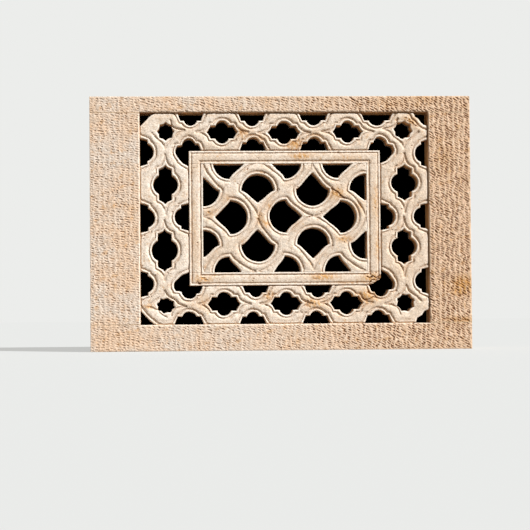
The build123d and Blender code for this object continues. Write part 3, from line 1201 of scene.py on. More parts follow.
@dataclass
class BorderLattice(CarvedWork):
    """The pierced border: cusped ribbons in a chain round the moulded frame."""

    seed: int = 50
    wear: Wear = Wear(
        chips=(
            (-172, 346, 13, 8, 2.6), (-160, 338, 6, 5, 3.0), (88, -352, 10, 5, 2.4),
            (503, 393, 6, 5, 3.4), (517, 381, 5, 6, 3.4), (530, 369, 6, 5, 3.2),
            (488, 400, 8, 4, 2.6), (452, 392, 6, 5, 2.6), (44, 300, 6, 8, 3.0),
            (62, 288, 9, 5, 2.6), (-548, -352, 7, 5, 2.4), (330, -300, 9, 5, 2.6),
            (100, -332, 5, 5, 2.6), (118, -346, 5, 4, 2.6), (96, -356, 5, 5, 2.2),
            (-66, -306, 5, 7, 2.4), (-76, -322, 5, 5, 2.2),
        ),
        cracks=(
            (((306, -322), (318, -330), (334, -328), (352, -318), (364, -322)), 2.8, 6),
            (((496, 388), (512, 384), (524, 372), (540, 364)), 2.4, 4),
        ),
        stains=(
            (-166, 340, 34, 22, 0.7), (-100, 320, 26, 16, 0.5), (40, 296, 42, 24, 1.1),
            (120, 330, 30, 18, 0.5), (-310, -340, 60, 30, 0.5), (110, -340, 42, 26, 0.75),
            (-66, -312, 28, 26, 0.8), (250, -340, 80, 30, 0.8), (340, -310, 60, 26, 0.9),
            (510, 385, 40, 26, 0.8), (480, 150, 40, 80, 0.5), (470, -150, 40, 80, 0.45),
            (-480, -150, 30, 70, 0.3), (-545, -350, 24, 12, 0.9),
        ),
    )
    sunk: float = 4.0
    sunk_rim: tuple = (3.0, 7.0)
    stone: Pierced = field(default_factory=lambda: Pierced(BORDER.holes()))

    def strips(self) -> Strips:
        """The four bands of the border."""
        names = tuple("border_lattice_" + side for side in ("top", "bottom", "left", "right"))
        return ring_of_four(names, LAYOUT.slab, (LAYOUT.frame_x, LAYOUT.frame_z))

    def skin_at(self, x: Array, z: Array, gap: Array) -> Skin:
        """The carved face, lower in a narrow strip beside the frame and darker there,
        with dirt and painted shade.

        Args:
            x, z: Positions, in millimetres.
            gap: Gap to the nearest hole.

        Returns:
            The skin.
        """
        half_x, half_z = LAYOUT.slab
        wall = np.minimum(half_x - np.abs(x), half_z - np.abs(z))
        frame = np.maximum(np.abs(x) - LAYOUT.frame_x, np.abs(z) - LAYOUT.frame_z)
        edge = np.minimum(gap, np.minimum(wall, frame))
        skin = self.carved(x, z, edge, self.stone.groove(x, z))
        low = 1 - smooth(frame + 0.8 * ripple(x, z, 24, 45), *self.sunk_rim)
        skin.height -= self.sunk * low
        # Dirt and painted shade in the sunk strip beside the frame.
        skin.dirt = np.maximum(skin.dirt, 0.45 * low)
        skin.pale *= 1 - low
        return skin


def centre_holes() -> list[Hole]:
    """Every hole of the centre, in a chequer: the bars between them are waves.

    Each stands for its middle, its radius, how far its point reaches and the side that
    it points to, as turned from downwards. The mason made no two alike.

    Returns:
        The holes, row by row.
    """
    down, right, up, left = 0, 90, 180, -90
    cut = (
        (-222, 221, 64, 60, right), (1, 221, 63, 54, left), (214, 221, 62, 60, right),
        (-325, 111, 62, 50, up), (-108, 110, 65, 47, down), (111, 115, 66, 64, up),
        (323, 112, 62, 42, down), (-219, 4, 67, 60, left), (4, 7, 65, 62, right),
        (222, 4, 64, 68, left), (-325, -108, 59, 46, down), (-109, -108, 66, 60, up),
        (112, -105, 64, 56, down), (324, -104, 61, 46, up), (-225, -213, 58, 46, right),
        (-2, -215, 63, 42, left), (218, -213, 60, 42, right),
    )
    return [TearHole(radius, reach).at(x, z, turn) for x, z, radius, reach, turn in cut]


@dataclass
class CentreLattice(CarvedWork):
    """The wave pattern inside the frame: tear-shaped holes, two rows by three columns."""

    step: float = 1.9
    seed: int = 70
    relief: Relief = Relief(groove=4.9, flat=1.8, roll=5.4, lip=6.4, crown=2.2)
    wear: Wear = Wear(
        chips=(
            (-150, 196, 5, 8, 3.0), (-178, 206, 4, 4, 2.6), (-304, 24, 8, 5, 3.0),
            (130, -8, 5, 6, 2.6), (-52, 40, 5, 5, 2.2), (228, -84, 9, 6, 2.4),
            (29, -10, 4, 6, 3.0), (-45, 205, 6, 4, 2.4), (206, 100, 8, 6, 3.4),
            (222, 88, 7, 5, 3.4),
        ),
        cracks=((((186, 118), (200, 110), (212, 104), (222, 92), (236, 80), (247, 78)), 3.4, 7),),
        stains=(
            (-100, 0, 16, 26, 0.9), (-72, -24, 20, 12, 1.0), (206, 98, 36, 24, 1.1),
            (236, -86, 34, 14, 0.9), (-232, 80, 26, 16, 0.5), (-300, 22, 30, 18, 0.6),
            (-62, 50, 20, 26, 0.6), (60, 110, 20, 14, 0.6), (-160, -100, 24, 18, 0.5),
            (40, -14, 24, 18, 0.6), (300, 40, 26, 30, 0.5),
        ),
    )
    wear_seed: int = 61
    stone: Pierced = field(default_factory=lambda: Pierced(centre_holes(), 21))

    def strips(self) -> Strips:
        """The one slab of the centre."""
        x, z = LAYOUT.inner
        return {"centre_lattice": [(-x, x, -z, z)]}

    def skin_at(self, x: Array, z: Array, gap: Array) -> Skin:
        """The carved face, with incised lines a bead's width in from the edges.

        Args:
            x, z: Positions, in millimetres.
            gap: Gap to the nearest hole.

        Returns:
            The skin.
        """
        half_x, half_z = LAYOUT.inner
        border = np.minimum(half_x - np.abs(x), half_z - np.abs(z))
        return self.carved(x, z, np.minimum(gap, border + 3), self.stone.groove(x, z))


@dataclass
class MouldedFrame(CarvedWork):
    """The frame between border and centre: a bead and an incised line at each edge."""

    seed: int = 90
    beads: tuple = (8.6, 9.8)
    broken: tuple = (40.0, 25.0)
    joint_half: float = 1.7
    joint_depth: float = 1.4
    relief: Relief = Relief(
        groove=5.8, flat=2.1, roll=5.0, lip=6.2, bead=9.0, arris=3.4, arris_drop=3.0, crown=1.0
    )
    wear: Wear = Wear(
        chips=(
            (-343, -262, 11, 6, 3.2), (384, -238, 9, 16, 4.0), (338, -270, 16, 8, 4.0),
            (60, 246, 9, 3, 2.0), (120, -244, 14, 4, 2.2), (-330, -238, 14, 3, 2.4),
            (-318, -246, 9, 3, 2.6), (345, -238, 7, 5, 3.0), (362, -222, 5, 6, 2.6),
            (-372, 150, 4, 7, 2.0), (214, 262, 8, 4, 2.0),
        ),
        cracks=(
            (((326, -236), (338, -243), (350, -234), (364, -243), (378, -232)), 3.0, 6),
            (((336, -262), (346, -250), (362, -252), (374, -244), (386, -250)), 2.6, 6),
            (((-352, -252), (-346, -262), (-338, -258)), 2.4, 5),
        ),
        stains=(
            (66, 248, 44, 12, 1.1), (150, -236, 52, 14, 1.1), (-330, -244, 40, 14, 1.0),
            (250, 240, 50, 12, 0.5), (-366, -20, 16, 190, 0.4), (366, 60, 14, 70, 0.7),
            (372, -120, 12, 60, 0.7), (348, -242, 42, 18, 1.1), (250, -262, 60, 8, 0.6),
        ),
    )
    wear_seed: int = 84

    def strips(self) -> Strips:
        """The rails run through, and the stiles stand between them."""
        names = ("frame_top_rail", "frame_bottom_rail", "frame_left_stile", "frame_right_stile")
        return ring_of_four(names, (LAYOUT.frame_x, LAYOUT.frame_z), LAYOUT.inner)

    def gap_at(self, x: Array, z: Array) -> Array:
        """Distance in from the ragged line of the broken corner, at the lower right."""
        u, w = (LAYOUT.frame_x - x) / self.broken[0], (z + LAYOUT.frame_z) / self.broken[1]
        return np.minimum((u + w - 1 + 0.08 * ripple(x, z, 12, 81)) * 21, FAR)

    def skin_at(self, x: Array, z: Array, gap: Array) -> Skin:
        """The moulded face, with straight lines along both edges of the frame.

        Args:
            x, z: Positions, in millimetres.
            gap: Distance in from the broken corner.

        Returns:
            The skin, with the butt joints of the rails and stiles as hair lines.
        """
        ix, iz = LAYOUT.inner
        outer = np.minimum(LAYOUT.frame_x - np.abs(x), LAYOUT.frame_z - np.abs(z))
        inner = np.maximum(np.abs(x) - ix, np.abs(z) - iz)
        waver = 0.7 * ripple(x, z, 60, 82) + 0.3 * ripple(x, z, 20, 83)
        far, close = self.beads
        far_line = np.abs(outer + waver - far) + 1.3
        groove = np.minimum(far_line, np.abs(inner + waver - close))
        skin = self.carved(x, z, np.minimum(np.minimum(outer, inner), gap), groove)
        joint = np.where(np.abs(x) > ix, np.abs(np.abs(z) - iz), FAR)
        hair = np.clip(1 - joint / self.joint_half, 0, 1)
        skin.height -= self.joint_depth * hair
        skin.dirt = np.maximum(skin.dirt, 0.5 * hair)
        return skin


@dataclass
class TooledWall(Stonework):
    """The four stones round the opening, dressed with short strokes of a point chisel."""

    step: float = 2.0
    seed: int = 140
    ending: str = "_tooled"
    levels: tuple = (0.01, 0.05, 0.3, 0.65, 1.0)
    back_step: float = 24.0
    column: float = 20.0
    pitch: float = 9.8
    slope: float = 0.40
    steeper: float = 0.00015
    depth: float = 3.9
    deepest_pock: float = 2.8
    arris: float = 6.8
    arris_drop: float = 4.8
    wear: Wear = Wear(
        chips=(
            (698, -316, 10, 6, 3.2), (712, -306, 6, 8, 2.8), (674, -366, 7, 6, 3.0),
            (640, -410, 12, 5, 2.6), (-655, 60, 9, 5, 2.4), (-632, 44, 7, 6, 2.2),
            (-30, 470, 10, 6, 2.6), (120, 468, 8, 6, 2.4),
        ),
        stains=(
            (715, -264, 46, 28, 1.2), (700, -300, 40, 20, 0.7), (706, -412, 70, 12, 0.9),
            (640, 240, 40, 60, 0.4), (-650, 52, 40, 24, 0.35), (-60, 480, 50, 20, 0.2),
            (160, 476, 60, 24, 0.2), (420, 460, 60, 24, 0.35), (560, 480, 50, 20, 0.5),
        ),
    )

    def strips(self) -> Strips:
        """Lintel and sill run through, and the jambs stand between their mortar beds.

        Returns:
            Each stone's one block.
        """
        left, right, bottom, top = LAYOUT.wall
        ox, oz = LAYOUT.open_x, LAYOUT.open_z
        joint = oz - LAYOUT.bed_joint
        return {
            "lintel": [(left, right, oz, top)],
            "sill": [(left, right, bottom, -oz)],
            "left_jamb": [(left, -ox, -joint, joint)],
            "right_jamb": [(ox, right, -joint, joint)],
        }

    def depths(self, name: str) -> tuple[float, float]:
        """The wall's face and its back."""
        return LAYOUT.front, LAYOUT.back

    def strokes(self, x: Array, z: Array) -> Array:
        """Depth of the tool's strokes: short ripples that slant down to the right.

        They run a wandering column wide, then start anew at another height. They are
        steeper to the right, z + a x + b x^2 = const, and deeper there, and whole patches
        are fainter.

        Args:
            x, z: Positions, in millimetres.

        Returns:
            The depth.
        """
        u = (x + 8.0 * ripple(x, z, 55, 101) + 4.5 * ripple(x, z, 15, 102)) / self.column
        col = np.floor(u)
        part = u - col
        across = z + self.slope * x + self.steeper * x**2
        across += 5.0 * ripple(x, z, 80, 103) + 1.5 * ripple(x, z, 17, 104, 9)
        v = across / self.pitch + scatter(col, 0 * col, 105)
        row = np.floor(v)
        fall = v - row
        strength = 0.4 + 0.6 * scatter(col, row, 106)
        patch = 0.7 + 0.3 * smooth(ripple(x, z, 75, 107), -0.6, 0.5)
        patch = patch * (1 + 0.75 * smooth(x, -100.0, 560.0))
        start = 0.25 * scatter(col, row, 108)
        reach = smooth(part, start, start + 0.15) * (1 - smooth(part, start + 0.55, start + 0.75))
        scoop = np.clip(fall / 0.55, 0, 1) * (1 - smooth(fall, 0.55, 0.97))
        return self.depth * strength * patch * reach * scoop

    def pocks(self, x: Array, z: Array) -> Array:
        """Depth of the deeper holes where the point broke grains out.

        There is one in a share of the cells of two nets, with more to the right.

        Args:
            x, z: Positions, in millimetres.

        Returns:
            The depth, at most deepest_pock.
        """
        depth = np.zeros(x.shape)
        more = 0.35 + 1.1 * smooth(x, -300.0, 600.0)
        for cell, share, seed in ((17.0, 0.26, 111), (31.0, 0.30, 121)):
            ix, iz = np.floor(x / cell), np.floor(z / cell)
            px = (ix + 0.2 + 0.6 * scatter(ix, iz, seed)) * cell
            pz = (iz + 0.2 + 0.6 * scatter(ix, iz, seed + 1)) * cell
            size = 1.5 + 2.4 * scatter(ix, iz, seed + 2) ** 2
            gap = np.hypot((x - px) * 0.7, z - pz) / size
            there = scatter(ix, iz, seed + 3) < share * more
            depth = np.maximum(depth, np.where(there, size * np.clip(1 - gap**2, 0, 1), 0))
        return np.minimum(depth, self.deepest_pock)

    def skin_at(self, x: Array, z: Array, gap: Array) -> Skin:
        """The dressed face, with worn arrises round the opening and at the bed joints.

        Args:
            x, z: Positions, in millimetres.
            gap: Not used, as the stones have no holes.

        Returns:
            The skin.
        """
        left, right, bottom, top = LAYOUT.wall
        outer = np.minimum(np.minimum(x - left, right - x), np.minimum(z - bottom, top - z))
        opening = np.maximum(np.abs(x) - LAYOUT.open_x, np.abs(z) - LAYOUT.open_z)
        joint = np.abs(np.abs(z) - LAYOUT.open_z + 0.5 * LAYOUT.bed_joint)
        joint = np.where(np.abs(x) > LAYOUT.open_x - 1, joint - 0.5 * LAYOUT.bed_joint, FAR)
        edge = np.minimum(np.minimum(outer + 1.5, joint + 2.6), opening)
        inside = smooth(outer, 0.5, 6.0)
        strokes, pocks = self.strokes(x, z) * inside, self.pocks(x, z) * inside
        drop = 3.0 * (1 - np.clip(edge / (3.6 + 1.4 * ripple(x, z, 16, 131)), 0, 1)) ** 2
        rounded = 1 - np.clip(opening / (self.arris + 1.6 * ripple(x, z, 30, 138)), 0, 1)
        drop = np.maximum(drop, self.arris_drop * (1 - np.sqrt(1 - rounded**2)))
        uneven = 0.7 * ripple(x, z, 60, 132) + 0.55 * ripple(x, z, 9, 133, 9)
        dents = self.wear.dents(x, z)
        height = 0.9 * inside + uneven * inside - strokes - pocks - drop - dents
        rust = 0.5 * smooth(ripple(x, z, 45, 134) + 0.4 * ripple(x, z, 12, 135), 0.35, 1.0)
        rust = np.clip(rust + self.wear.rust(x, z), 0, 1)
        # Dirt in the strokes, pocks and dents, stronger to the right: partly dirt, partly painted shade in
        # them.
        cuts_darker_right = 1 + 0.7 * smooth(x, -100, 450)
        dirt = cuts_darker_right * (0.55 * strokes / self.depth + 0.6 * pocks / 3 + 0.15 * dents)
        # Pale along the opening's rounded arris: partly wear, partly a painted highlight; the pale patches
        # are tone.
        pale = (1 - smooth(opening, 1.0, 7.0)) * (0.7 + 0.4 * ripple(x, z, 14, 136))
        pale = np.clip(pale + 0.35 * smooth(ripple(x, z, 24, 137), 0.2, 0.9), 0, 1)
        return Skin(height, np.clip(dirt, 0, 1), rust, pale)


@dataclass
class MortarWork(Stonework):
    """Thin lime mortar: bed joints of the wall, and pads that hold the lattice."""

    step: float = 2.5
    seed: int = 160
    ending: str = "_trowelled"
    setback: float = 0.4
    pad_front: float = -106.0

    def strips(self) -> Strips:
        """Four beds, at the ends of the jambs, and four rows of pads along the opening.

        Returns:
            Each bed's one block, and the blocks of each row of pads.
        """
        ox, oz = LAYOUT.open_x, LAYOUT.open_z
        left, right, _, _ = LAYOUT.wall
        gap, bed = LAYOUT.mortar, LAYOUT.bed_joint
        made = {}
        for level, (low, high) in (("lower", (-oz, bed - oz)), ("upper", (oz - bed, oz))):
            made[f"bed_joint_{level}_left"] = [(left, -ox, low, high)]
            made[f"bed_joint_{level}_right"] = [(ox, right, low, high)]
        made["mortar_top"] = [(a, b, oz - gap, oz) for a, b in BORDER.pads_along(1)]
        made["mortar_bottom"] = [(a, b, -oz, gap - oz) for a, b in BORDER.pads_along(-1)]
        made["mortar_left"] = [(-ox, gap - ox, a, b) for a, b in BORDER.pads_beside(-1)]
        made["mortar_right"] = [(ox - gap, ox, a, b) for a, b in BORDER.pads_beside(1)]
        return made

    def depths(self, name: str) -> tuple[float, float]:
        """Beds go through the wall, and pads are set back from the lattice's face."""
        bed = name.startswith("bed")
        return (LAYOUT.front + self.setback, LAYOUT.back) if bed else (self.pad_front, LAYOUT.slab_back)

    def skin_at(self, x: Array, z: Array, gap: Array) -> Skin:
        """A trowelled skin, hollow and crumbling in places.

        Args:
            x, z: Positions, in millimetres.
            gap: Not used, as mortar has no holes.

        Returns:
            The skin.
        """
        height = 0.8 * ripple(x, z, 16, 151) + 0.4 * ripple(x, z, 5, 152)
        dirt = np.clip(0.1 + 0.4 * ripple(x, z, 22, 153), 0, 1)
        rust = np.clip(0.3 * ripple(x, z, 30, 154), 0, 1)
        return Skin(height, dirt, rust, np.zeros(x.shape))


def linear(red: int, green: int, blue: int) -> tuple:
    """A screen colour from 0 to 255 as the light it stands for, with an alpha of 1.

    Up to 0.04045 a share of full is divided by 12.92, and above that it is
    ((share + 0.055) / 1.055) to the power 2.4.

    Args:
        red, green, blue: The screen colour.

    Returns:
        The light's red, green and blue from 0 to 1, and the alpha.
    """
    shares = [value / 255 for value in (red, green, blue)]
    lit = [s / 12.92 if s <= 0.04045 else ((s + 0.055) / 1.055) ** 2.4 for s in shares]
    return (*lit, 1.0)


class Graph:
    """A material's or a world's nodes, with short ways to add those that are used here."""

    def __init__(self, owner: bpy.types.ID) -> None:
        """Empties a node tree.

        Args:
            owner: The material or world that has it.
        """
        owner.use_nodes = True
        self.owner = owner
        self.tree = owner.node_tree
        self.tree.nodes.clear()

    def add(self, kind: str, feeds: dict, **settings) -> bpy.types.Node:
        """A new node.

        Args:
            kind: Its type.
            feeds: What its inputs get, another node's output or a plain value.
            settings: Its settings.

        Returns:
            The node.
        """
        node = self.tree.nodes.new(kind)
        for name, value in settings.items():
            setattr(node, name, value)
        for name, value in feeds.items():
            if isinstance(value, bpy.types.NodeSocket):
                self.tree.links.new(value, node.inputs[name])
            else:
                node.inputs[name].default_value = value
        return node

    def place(self) -> Socket:
        """Where on the piece a point is, in the piece's own metres."""
        return self.add("ShaderNodeTexCoord", {}).outputs["Object"]

    def noise(self, scale: float, detail: float = 3, rough: float = 0.55, bend: float = 0) -> Socket:
        """Noise from 0 to 1 over the piece's own metres.

        Args:
            scale: Humps in a metre.
            detail: How many finer layers are added.
            rough: Strength of each finer layer.
            bend: How much the pattern is warped.

        Returns:
            The noise's value.
        """
        feeds = {"Vector": self.place(), "Scale": scale, "Detail": detail, "Roughness": rough}
        return self.add("ShaderNodeTexNoise", {**feeds, "Distortion": bend}).outputs["Fac"]

    def cells(self, scale: float) -> Socket:
        """Distance to the nearest of points scattered so many to a metre."""
        feeds = {"Vector": self.place(), "Scale": scale}
        return self.add("ShaderNodeTexVoronoi", feeds).outputs["Distance"]

    def mark(self, name: str) -> Socket:
        """A number that the piece's own points carry."""
        return self.add("ShaderNodeAttribute", {}, attribute_name=name).outputs["Fac"]

    def span(self, value: Feed, low: float, high: float, first: float = 0, last: float = 1) -> Socket:
        """A value moved smoothly from one span onto another.

        Args:
            value: The value.
            low: Start of its span.
            high: End of its span.
            first: What low becomes.
            last: What high becomes.

        Returns:
            The moved value.
        """
        feeds = {"Value": value, "From Min": low, "From Max": high, "To Min": first, "To Max": last}
        return self.add("ShaderNodeMapRange", feeds, interpolation_type="SMOOTHSTEP").outputs["Result"]

    def sum(self, first: Feed, second: Feed, how: str = "ADD") -> Socket:
        """Two numbers added, or put together another way."""
        return self.add("ShaderNodeMath", {0: first, 1: second}, operation=how).outputs[0]

    def times(self, first: Feed, second: Feed) -> Socket:
        """Two numbers multiplied."""
        return self.sum(first, second, "MULTIPLY")

    def mix(self, share: Feed, first: Feed, second: Feed, how: str = "MIX") -> Socket:
        """Two colours mixed by a share."""
        feeds = {0: share, 6: first, 7: second}
        return self.add("ShaderNodeMix", feeds, data_type="RGBA", blend_type=how).outputs[2]

    def shade(self, colour: Feed, amount: Feed) -> Socket:
        """A colour made lighter or darker by a number."""
        grey = self.add("ShaderNodeCombineColor", {0: amount, 1: amount, 2: amount}).outputs[0]
        return self.mix(1.0, colour, grey, "MULTIPLY")

    def bump(self, height: Feed, distance: float, under: dict | None = None) -> dict:
        """Fine relief of that depth in metres, on top of other relief if given."""
        feeds = {"Strength": 1.0, "Distance": distance, "Height": height, **(under or {})}
        return {"Normal": self.add("ShaderNodeBump", feeds).outputs["Normal"]}

    def seen(self) -> Socket:
        """Tells what the camera sees, itself or in a mirror or through glass.

        Returns:
            1 for that, and 0 for what only other rays meet.
        """
        path = self.add("ShaderNodeLightPath", {}).outputs
        share = path["Is Camera Ray"]
        for ray in ("Is Glossy Ray", "Is Transmission Ray"):
            share = self.sum(share, path[ray], "MAXIMUM")
        return share

    def either(self, share: Feed, first: bpy.types.Node, second: bpy.types.Node) -> Socket:
        """Two shaders mixed by a share."""
        feeds = {0: share, 1: first.outputs[0], 2: second.outputs[0]}
        return self.add("ShaderNodeMixShader", feeds).outputs[0]

    def end(self, surface: Socket, kind: str = "ShaderNodeOutputMaterial") -> bpy.types.ID:
        """Ends the tree in a shader and gives the material or world back."""
        self.add(kind, {"Surface": surface})
        return self.owner

    def stone(self, colour: Feed, roughness: Feed, relief: dict) -> bpy.types.Material:
        """Ends a material in a rough, nearly matt surface."""
        feeds = {"Specular IOR Level": 0.25, "Base Color": colour, "Roughness": roughness, **relief}
        return self.end(self.add("ShaderNodeBsdfPrincipled", feeds).outputs["BSDF"])


def new_graph(name: str) -> Graph:
    """The nodes of a new material."""
    return Graph(bpy.data.materials.new(name))


@dataclass(frozen=True)
class StoneFinish:
    """Sandstone: patches, mottling, sand grains, iron specks and dirt in the cuts.

    The cuts and the holes also get painted shade, and the arrises painted highlights.
    """

    name: str
    pale: tuple
    warm: tuple
    # Colour of worn arrises, also used as a painted highlight.
    rubbed_highlight: tuple
    tan_side: float = 0.5
    patchy: float = 0.5
    # Colour of dirt, and of painted shade in cuts and hollows.
    grime: tuple = linear(128, 80, 38)
    iron: tuple = linear(203, 149, 77)
    # Painted shade: the warm brown of shaded stone on the sides of the holes.
    hollow: tuple = linear(196, 144, 68)
    speck: tuple = linear(166, 124, 78)

    def make(self) -> bpy.types.Material:
        """Builds the material.

        The ground goes from pale to warm by wide noise, and more so to the right by
        tan_side. Sand grains lighten and darken it, and specks and stains lie on it. The pale
        mark mixes in rubbed, for wear and a painted highlight, and the dirt mark mixes in
        grime, for dirt and painted shade. The sides of the holes are painted shade, from
        hollow, the brown of shaded stone, to dark further in.

        Returns:
            The material.
        """
        g = new_graph(self.name)
        axis = g.add("ShaderNodeSeparateXYZ", {0: g.place()})
        across = g.span(axis.outputs["X"], -0.75, 0.75, 0, self.tan_side)
        patches = g.span(g.noise(7.0, 4, 0.6, 0.4), 0.36, 0.66, 0.0, self.patchy)
        ground = g.mix(g.sum(patches, across, "MAXIMUM"), self.pale, self.warm)
        mottle = g.span(g.noise(46.0, 4, 0.65, 0.3), 0.35, 0.68)
        ground = g.mix(g.times(mottle, 0.30), ground, self.warm)
        ground = g.shade(ground, g.span(g.noise(430.0, 3, 0.6), 0.3, 0.7, 0.78, 1.12))
        spots = g.span(g.cells(150.0), 0.07, 0.16, 1, 0)
        spots = g.times(spots, g.span(g.noise(24.0), 0.5, 0.66))
        ground = g.mix(g.times(spots, 0.6), ground, self.speck)
        flecks = g.span(g.noise(58.0, 3, 0.7), 0.60, 0.72, 0.0, 0.55)
        ground = g.mix(flecks, ground, self.iron)
        ground = g.mix(g.times(g.mark("rust"), 0.85), ground, self.iron)
        blots = g.span(g.noise(75.0, 5, 0.75, 0.5), 0.5, 0.68, 0.0, 0.5)
        ground = g.mix(blots, ground, self.speck)
        ground = g.shade(ground, g.span(g.noise(170.0, 2, 0.6), 0.3, 0.7, 0.84, 1.12))
        # Worn arrises and painted highlights, from the pale mark.
        ground = g.mix(g.times(g.mark("pale"), 0.6), ground, self.rubbed_highlight)
        # Dirt and painted shade, from the dirt mark.
        dirt = g.times(g.mark("dirt"), g.span(g.noise(90.0), 0.3, 0.7, 0.6, 1.0))
        ground = g.mix(dirt, ground, self.grime)
        # Painted shade on the sides of the holes: hollow brown, darkening further in.
        ground = g.mix(g.span(g.mark("depth"), 0.15, 0.9, 0, 0.9), ground, self.hollow)
        ground = g.shade(ground, g.span(g.mark("depth"), 1.0, 1.9, 1.0, 0.25))
        roughness = g.span(g.noise(120.0), 0.3, 0.7, 0.78, 0.94)
        coarse = g.bump(g.noise(210.0, 4, 0.6), 0.0011)
        return g.stone(ground, roughness, g.bump(g.noise(760.0, 2, 0.6), 0.0004, coarse))


@dataclass(frozen=True)
class MortarFinish:
    """Lime mortar: off-white, with sand of several colours showing in it."""

    name: str = "Lime mortar"
    lime: tuple = linear(222, 198, 168)
    sand: tuple = linear(186, 150, 112)
    grime: tuple = linear(88, 60, 36)

    def make(self) -> bpy.types.Material:
        """Builds the material.

        Sand shows near scattered points and in wide patches, with dirt on top.

        Returns:
            The material.
        """
        g = new_graph(self.name)
        grains = g.span(g.cells(520.0), 0.12, 0.5, 1, 0)
        ground = g.mix(g.times(grains, 0.6), self.lime, self.sand)
        ground = g.mix(g.span(g.noise(30.0, 4, 0.6), 0.35, 0.7, 0, 0.5), ground, self.sand)
        ground = g.mix(g.mark("dirt"), ground, self.grime)
        coarse = g.bump(g.noise(300.0, 4, 0.65), 0.0012)
        roughness = g.span(g.noise(60.0), 0.3, 0.7, 0.85, 0.98)
        return g.stone(ground, roughness, g.bump(g.cells(520.0), 0.0005, coarse))


@dataclass(frozen=True)
class Studio:
    """A pale room with one sun and even light from all round, and a painted dark sheet behind.

    The sun stands to the upper right in front, in the direction that towards gives.
    """

    room: tuple = linear(236, 237, 235)
    boards: tuple = linear(213, 214, 214)
    ground: tuple = linear(120, 108, 94)
    floor_half: float = 40.0
    glow: float = 0.6
    sun: float = 5.5
    sun_angle: float = 1.5
    sun_colour: tuple = (0.97, 0.985, 0.985)
    towards: tuple = (0.56, -0.56, 0.60)
    air_colour: tuple = (1.0, 0.93, 0.80, 1)
    air_strength: float = 0.18
    dark_y: float = -0.010
    dark_margin: float = 0.006

    def flat(self, name: str, points: list[tuple], material: bpy.types.Material) -> None:
        """A single flat face on the stage.

        Args:
            name: The object's name.
            points: Its four corners.
            material: What it is made of.
        """
        mesh = bpy.data.meshes.new(name)
        mesh.from_pydata(points, [], [(0, 1, 2, 3)])
        mesh.materials.append(material)
        link(name, mesh)

    def floor(self) -> None:
        """A wide floor that looks as pale as the room, with a pale shadow of the window.

        The camera sees it glow by a share of the room's colour. It throws less light back
        at the window than it shows, as trodden ground does.
        """
        g = new_graph("Pale floor")
        seen = g.seen()
        plain = g.add("ShaderNodeBsdfDiffuse", {"Color": g.mix(seen, self.ground, self.boards)})
        haze = g.add("ShaderNodeEmission", {"Color": self.room})
        far, z = self.floor_half, -0.0005
        corners = [(-far, -far, z), (far, -far, z), (far, far, z), (-far, far, z)]
        self.flat("floor", corners, g.end(g.either(g.times(seen, self.glow), plain, haze)))

    def dark(self) -> None:
        """Painted shade behind the window: a black sheet as seen through the holes.

        It only shows to the camera, and from outside, so it takes no light away and the
        back of the lattice can be seen from inside.
        """
        g = new_graph("Painted dark sheet")
        # Painted shade: black where the room behind the window is seen.
        black = g.add("ShaderNodeEmission", {"Color": (0, 0, 0, 1)})
        clear = g.add("ShaderNodeBsdfTransparent", {})
        path = g.add("ShaderNodeLightPath", {})
        side = g.add("ShaderNodeNewGeometry", {})
        outside = g.sum(1.0, side.outputs["Backfacing"], "SUBTRACT")
        seen = g.times(path.outputs["Is Camera Ray"], outside)
        half_x = LAYOUT.open_x / 1000 + self.dark_margin
        half_z = LAYOUT.open_z / 1000 + self.dark_margin
        left, right = LAYOUT.centre_x / 1000 - half_x, LAYOUT.centre_x / 1000 + half_x
        low, high = LAYOUT.centre_z / 1000 - half_z, LAYOUT.centre_z / 1000 + half_z
        corners = [(x, self.dark_y, z) for x, z in ((left, low), (right, low), (right, high), (left, high))]
        self.flat("painted_dark_sheet", corners, g.end(g.either(seen, clear, black)))

    def lamps(self) -> None:
        """The one lamp, a sun."""
        lamp = bpy.data.lights.new("key", "SUN")
        lamp.energy = self.sun
        lamp.angle = math.radians(self.sun_angle)
        lamp.color = self.sun_colour
        holder = link("key", lamp)
        holder.rotation_mode = "QUATERNION"
        holder.rotation_quaternion = Vector(self.towards).to_track_quat("Z", "Y")

    def air(self) -> None:
        """Even light from all round; the camera sees the room's colour instead."""
        world = bpy.data.worlds.new("Room")
        bpy.context.scene.world = world
        g = Graph(world)
        light = g.add("ShaderNodeBackground", {"Color": self.air_colour, "Strength": self.air_strength})
        seen = g.add("ShaderNodeBackground", {"Color": self.room})
        g.end(g.either(g.seen(), light, seen), "ShaderNodeOutputWorld")

    def build(self) -> None:
        """Sets up the floor, the painted dark sheet, the lamp and the air."""
        self.floor()
        self.dark()
        self.lamps()
        self.air()


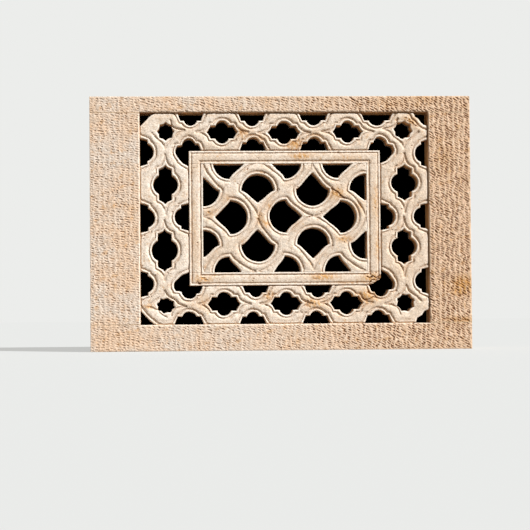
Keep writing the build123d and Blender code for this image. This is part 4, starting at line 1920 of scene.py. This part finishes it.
@dataclass(frozen=True)
class Viewpoint:
    """The camera: to the left of the window, below its middle and a little tilted.

    A pixel of the image covers nearly 4 mm at the wall's face.
    """

    azimuth: float = -3.4
    elevation: float = -3.2
    distance: float = 6.6
    across: float = -0.0672
    down: float = -0.1675
    roll: float = -0.46
    pixel: float = 0.003995
    image: int = 530
    sensor: float = 36.0

    def build(self) -> None:
        """Places the camera on its bearing from the middle of the face, and aims it."""
        a, e = math.radians(self.azimuth), math.radians(self.elevation)
        middle = Vector((0, LAYOUT.front / 1000, LAYOUT.wall_height / 2000))
        back = Vector((math.sin(a) * math.cos(e), -math.cos(a) * math.cos(e), math.sin(e)))
        camera = bpy.data.cameras.new("camera")
        camera.sensor_width = self.sensor
        camera.lens = self.sensor * self.distance / (self.pixel * self.image)
        camera.clip_start, camera.clip_end = 0.05, 200
        holder = link("camera", camera)
        holder.location = middle + back * self.distance
        aim = middle + Vector((self.across, 0, self.down))
        holder.rotation_mode = "QUATERNION"
        level = (aim - holder.location).to_track_quat("-Z", "Y")
        holder.rotation_quaternion = level @ Quaternion((0, 0, 1), math.radians(self.roll))
        bpy.context.scene.camera = holder


def dress(pieces: dict[str, bpy.types.Object], finish: bpy.types.Material) -> None:
    """Gives pieces their finish and puts each in its node's place.

    Args:
        pieces: Objects by the name of the node that they stand for.
        finish: The material.
    """
    for node, piece in pieces.items():
        piece.data.materials.append(finish)
        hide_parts(node)
        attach(piece, "root")
        log.info("%s: %d triangles", piece.name, len(piece.data.polygons))


def main() -> None:
    """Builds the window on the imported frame, then the room and the camera."""
    logging.basicConfig(level=logging.INFO, format="%(message)s", stream=sys.stdout)
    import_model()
    tan = StoneFinish(
        name="Tan sandstone",
        pale=linear(223, 210, 197),
        warm=linear(229, 193, 159),
        rubbed_highlight=linear(250, 240, 226),
        tan_side=0.8,
        patchy=0.65,
    ).make()
    cream = StoneFinish(
        name="Cream sandstone",
        pale=linear(240, 228, 215),
        warm=linear(219, 192, 163),
        rubbed_highlight=linear(255, 250, 242),
    ).make()
    lime = MortarFinish().make()
    dress(TooledWall().build(), tan)
    dress(BorderLattice().build(), cream)
    dress(MouldedFrame().build(), cream)
    dress(CentreLattice().build(), cream)
    dress(MortarWork().build(), lime)
    Studio().build()
    Viewpoint().build()
    bpy.context.scene.view_settings.view_transform = "Standard"


if __name__ == "__main__":
    main()
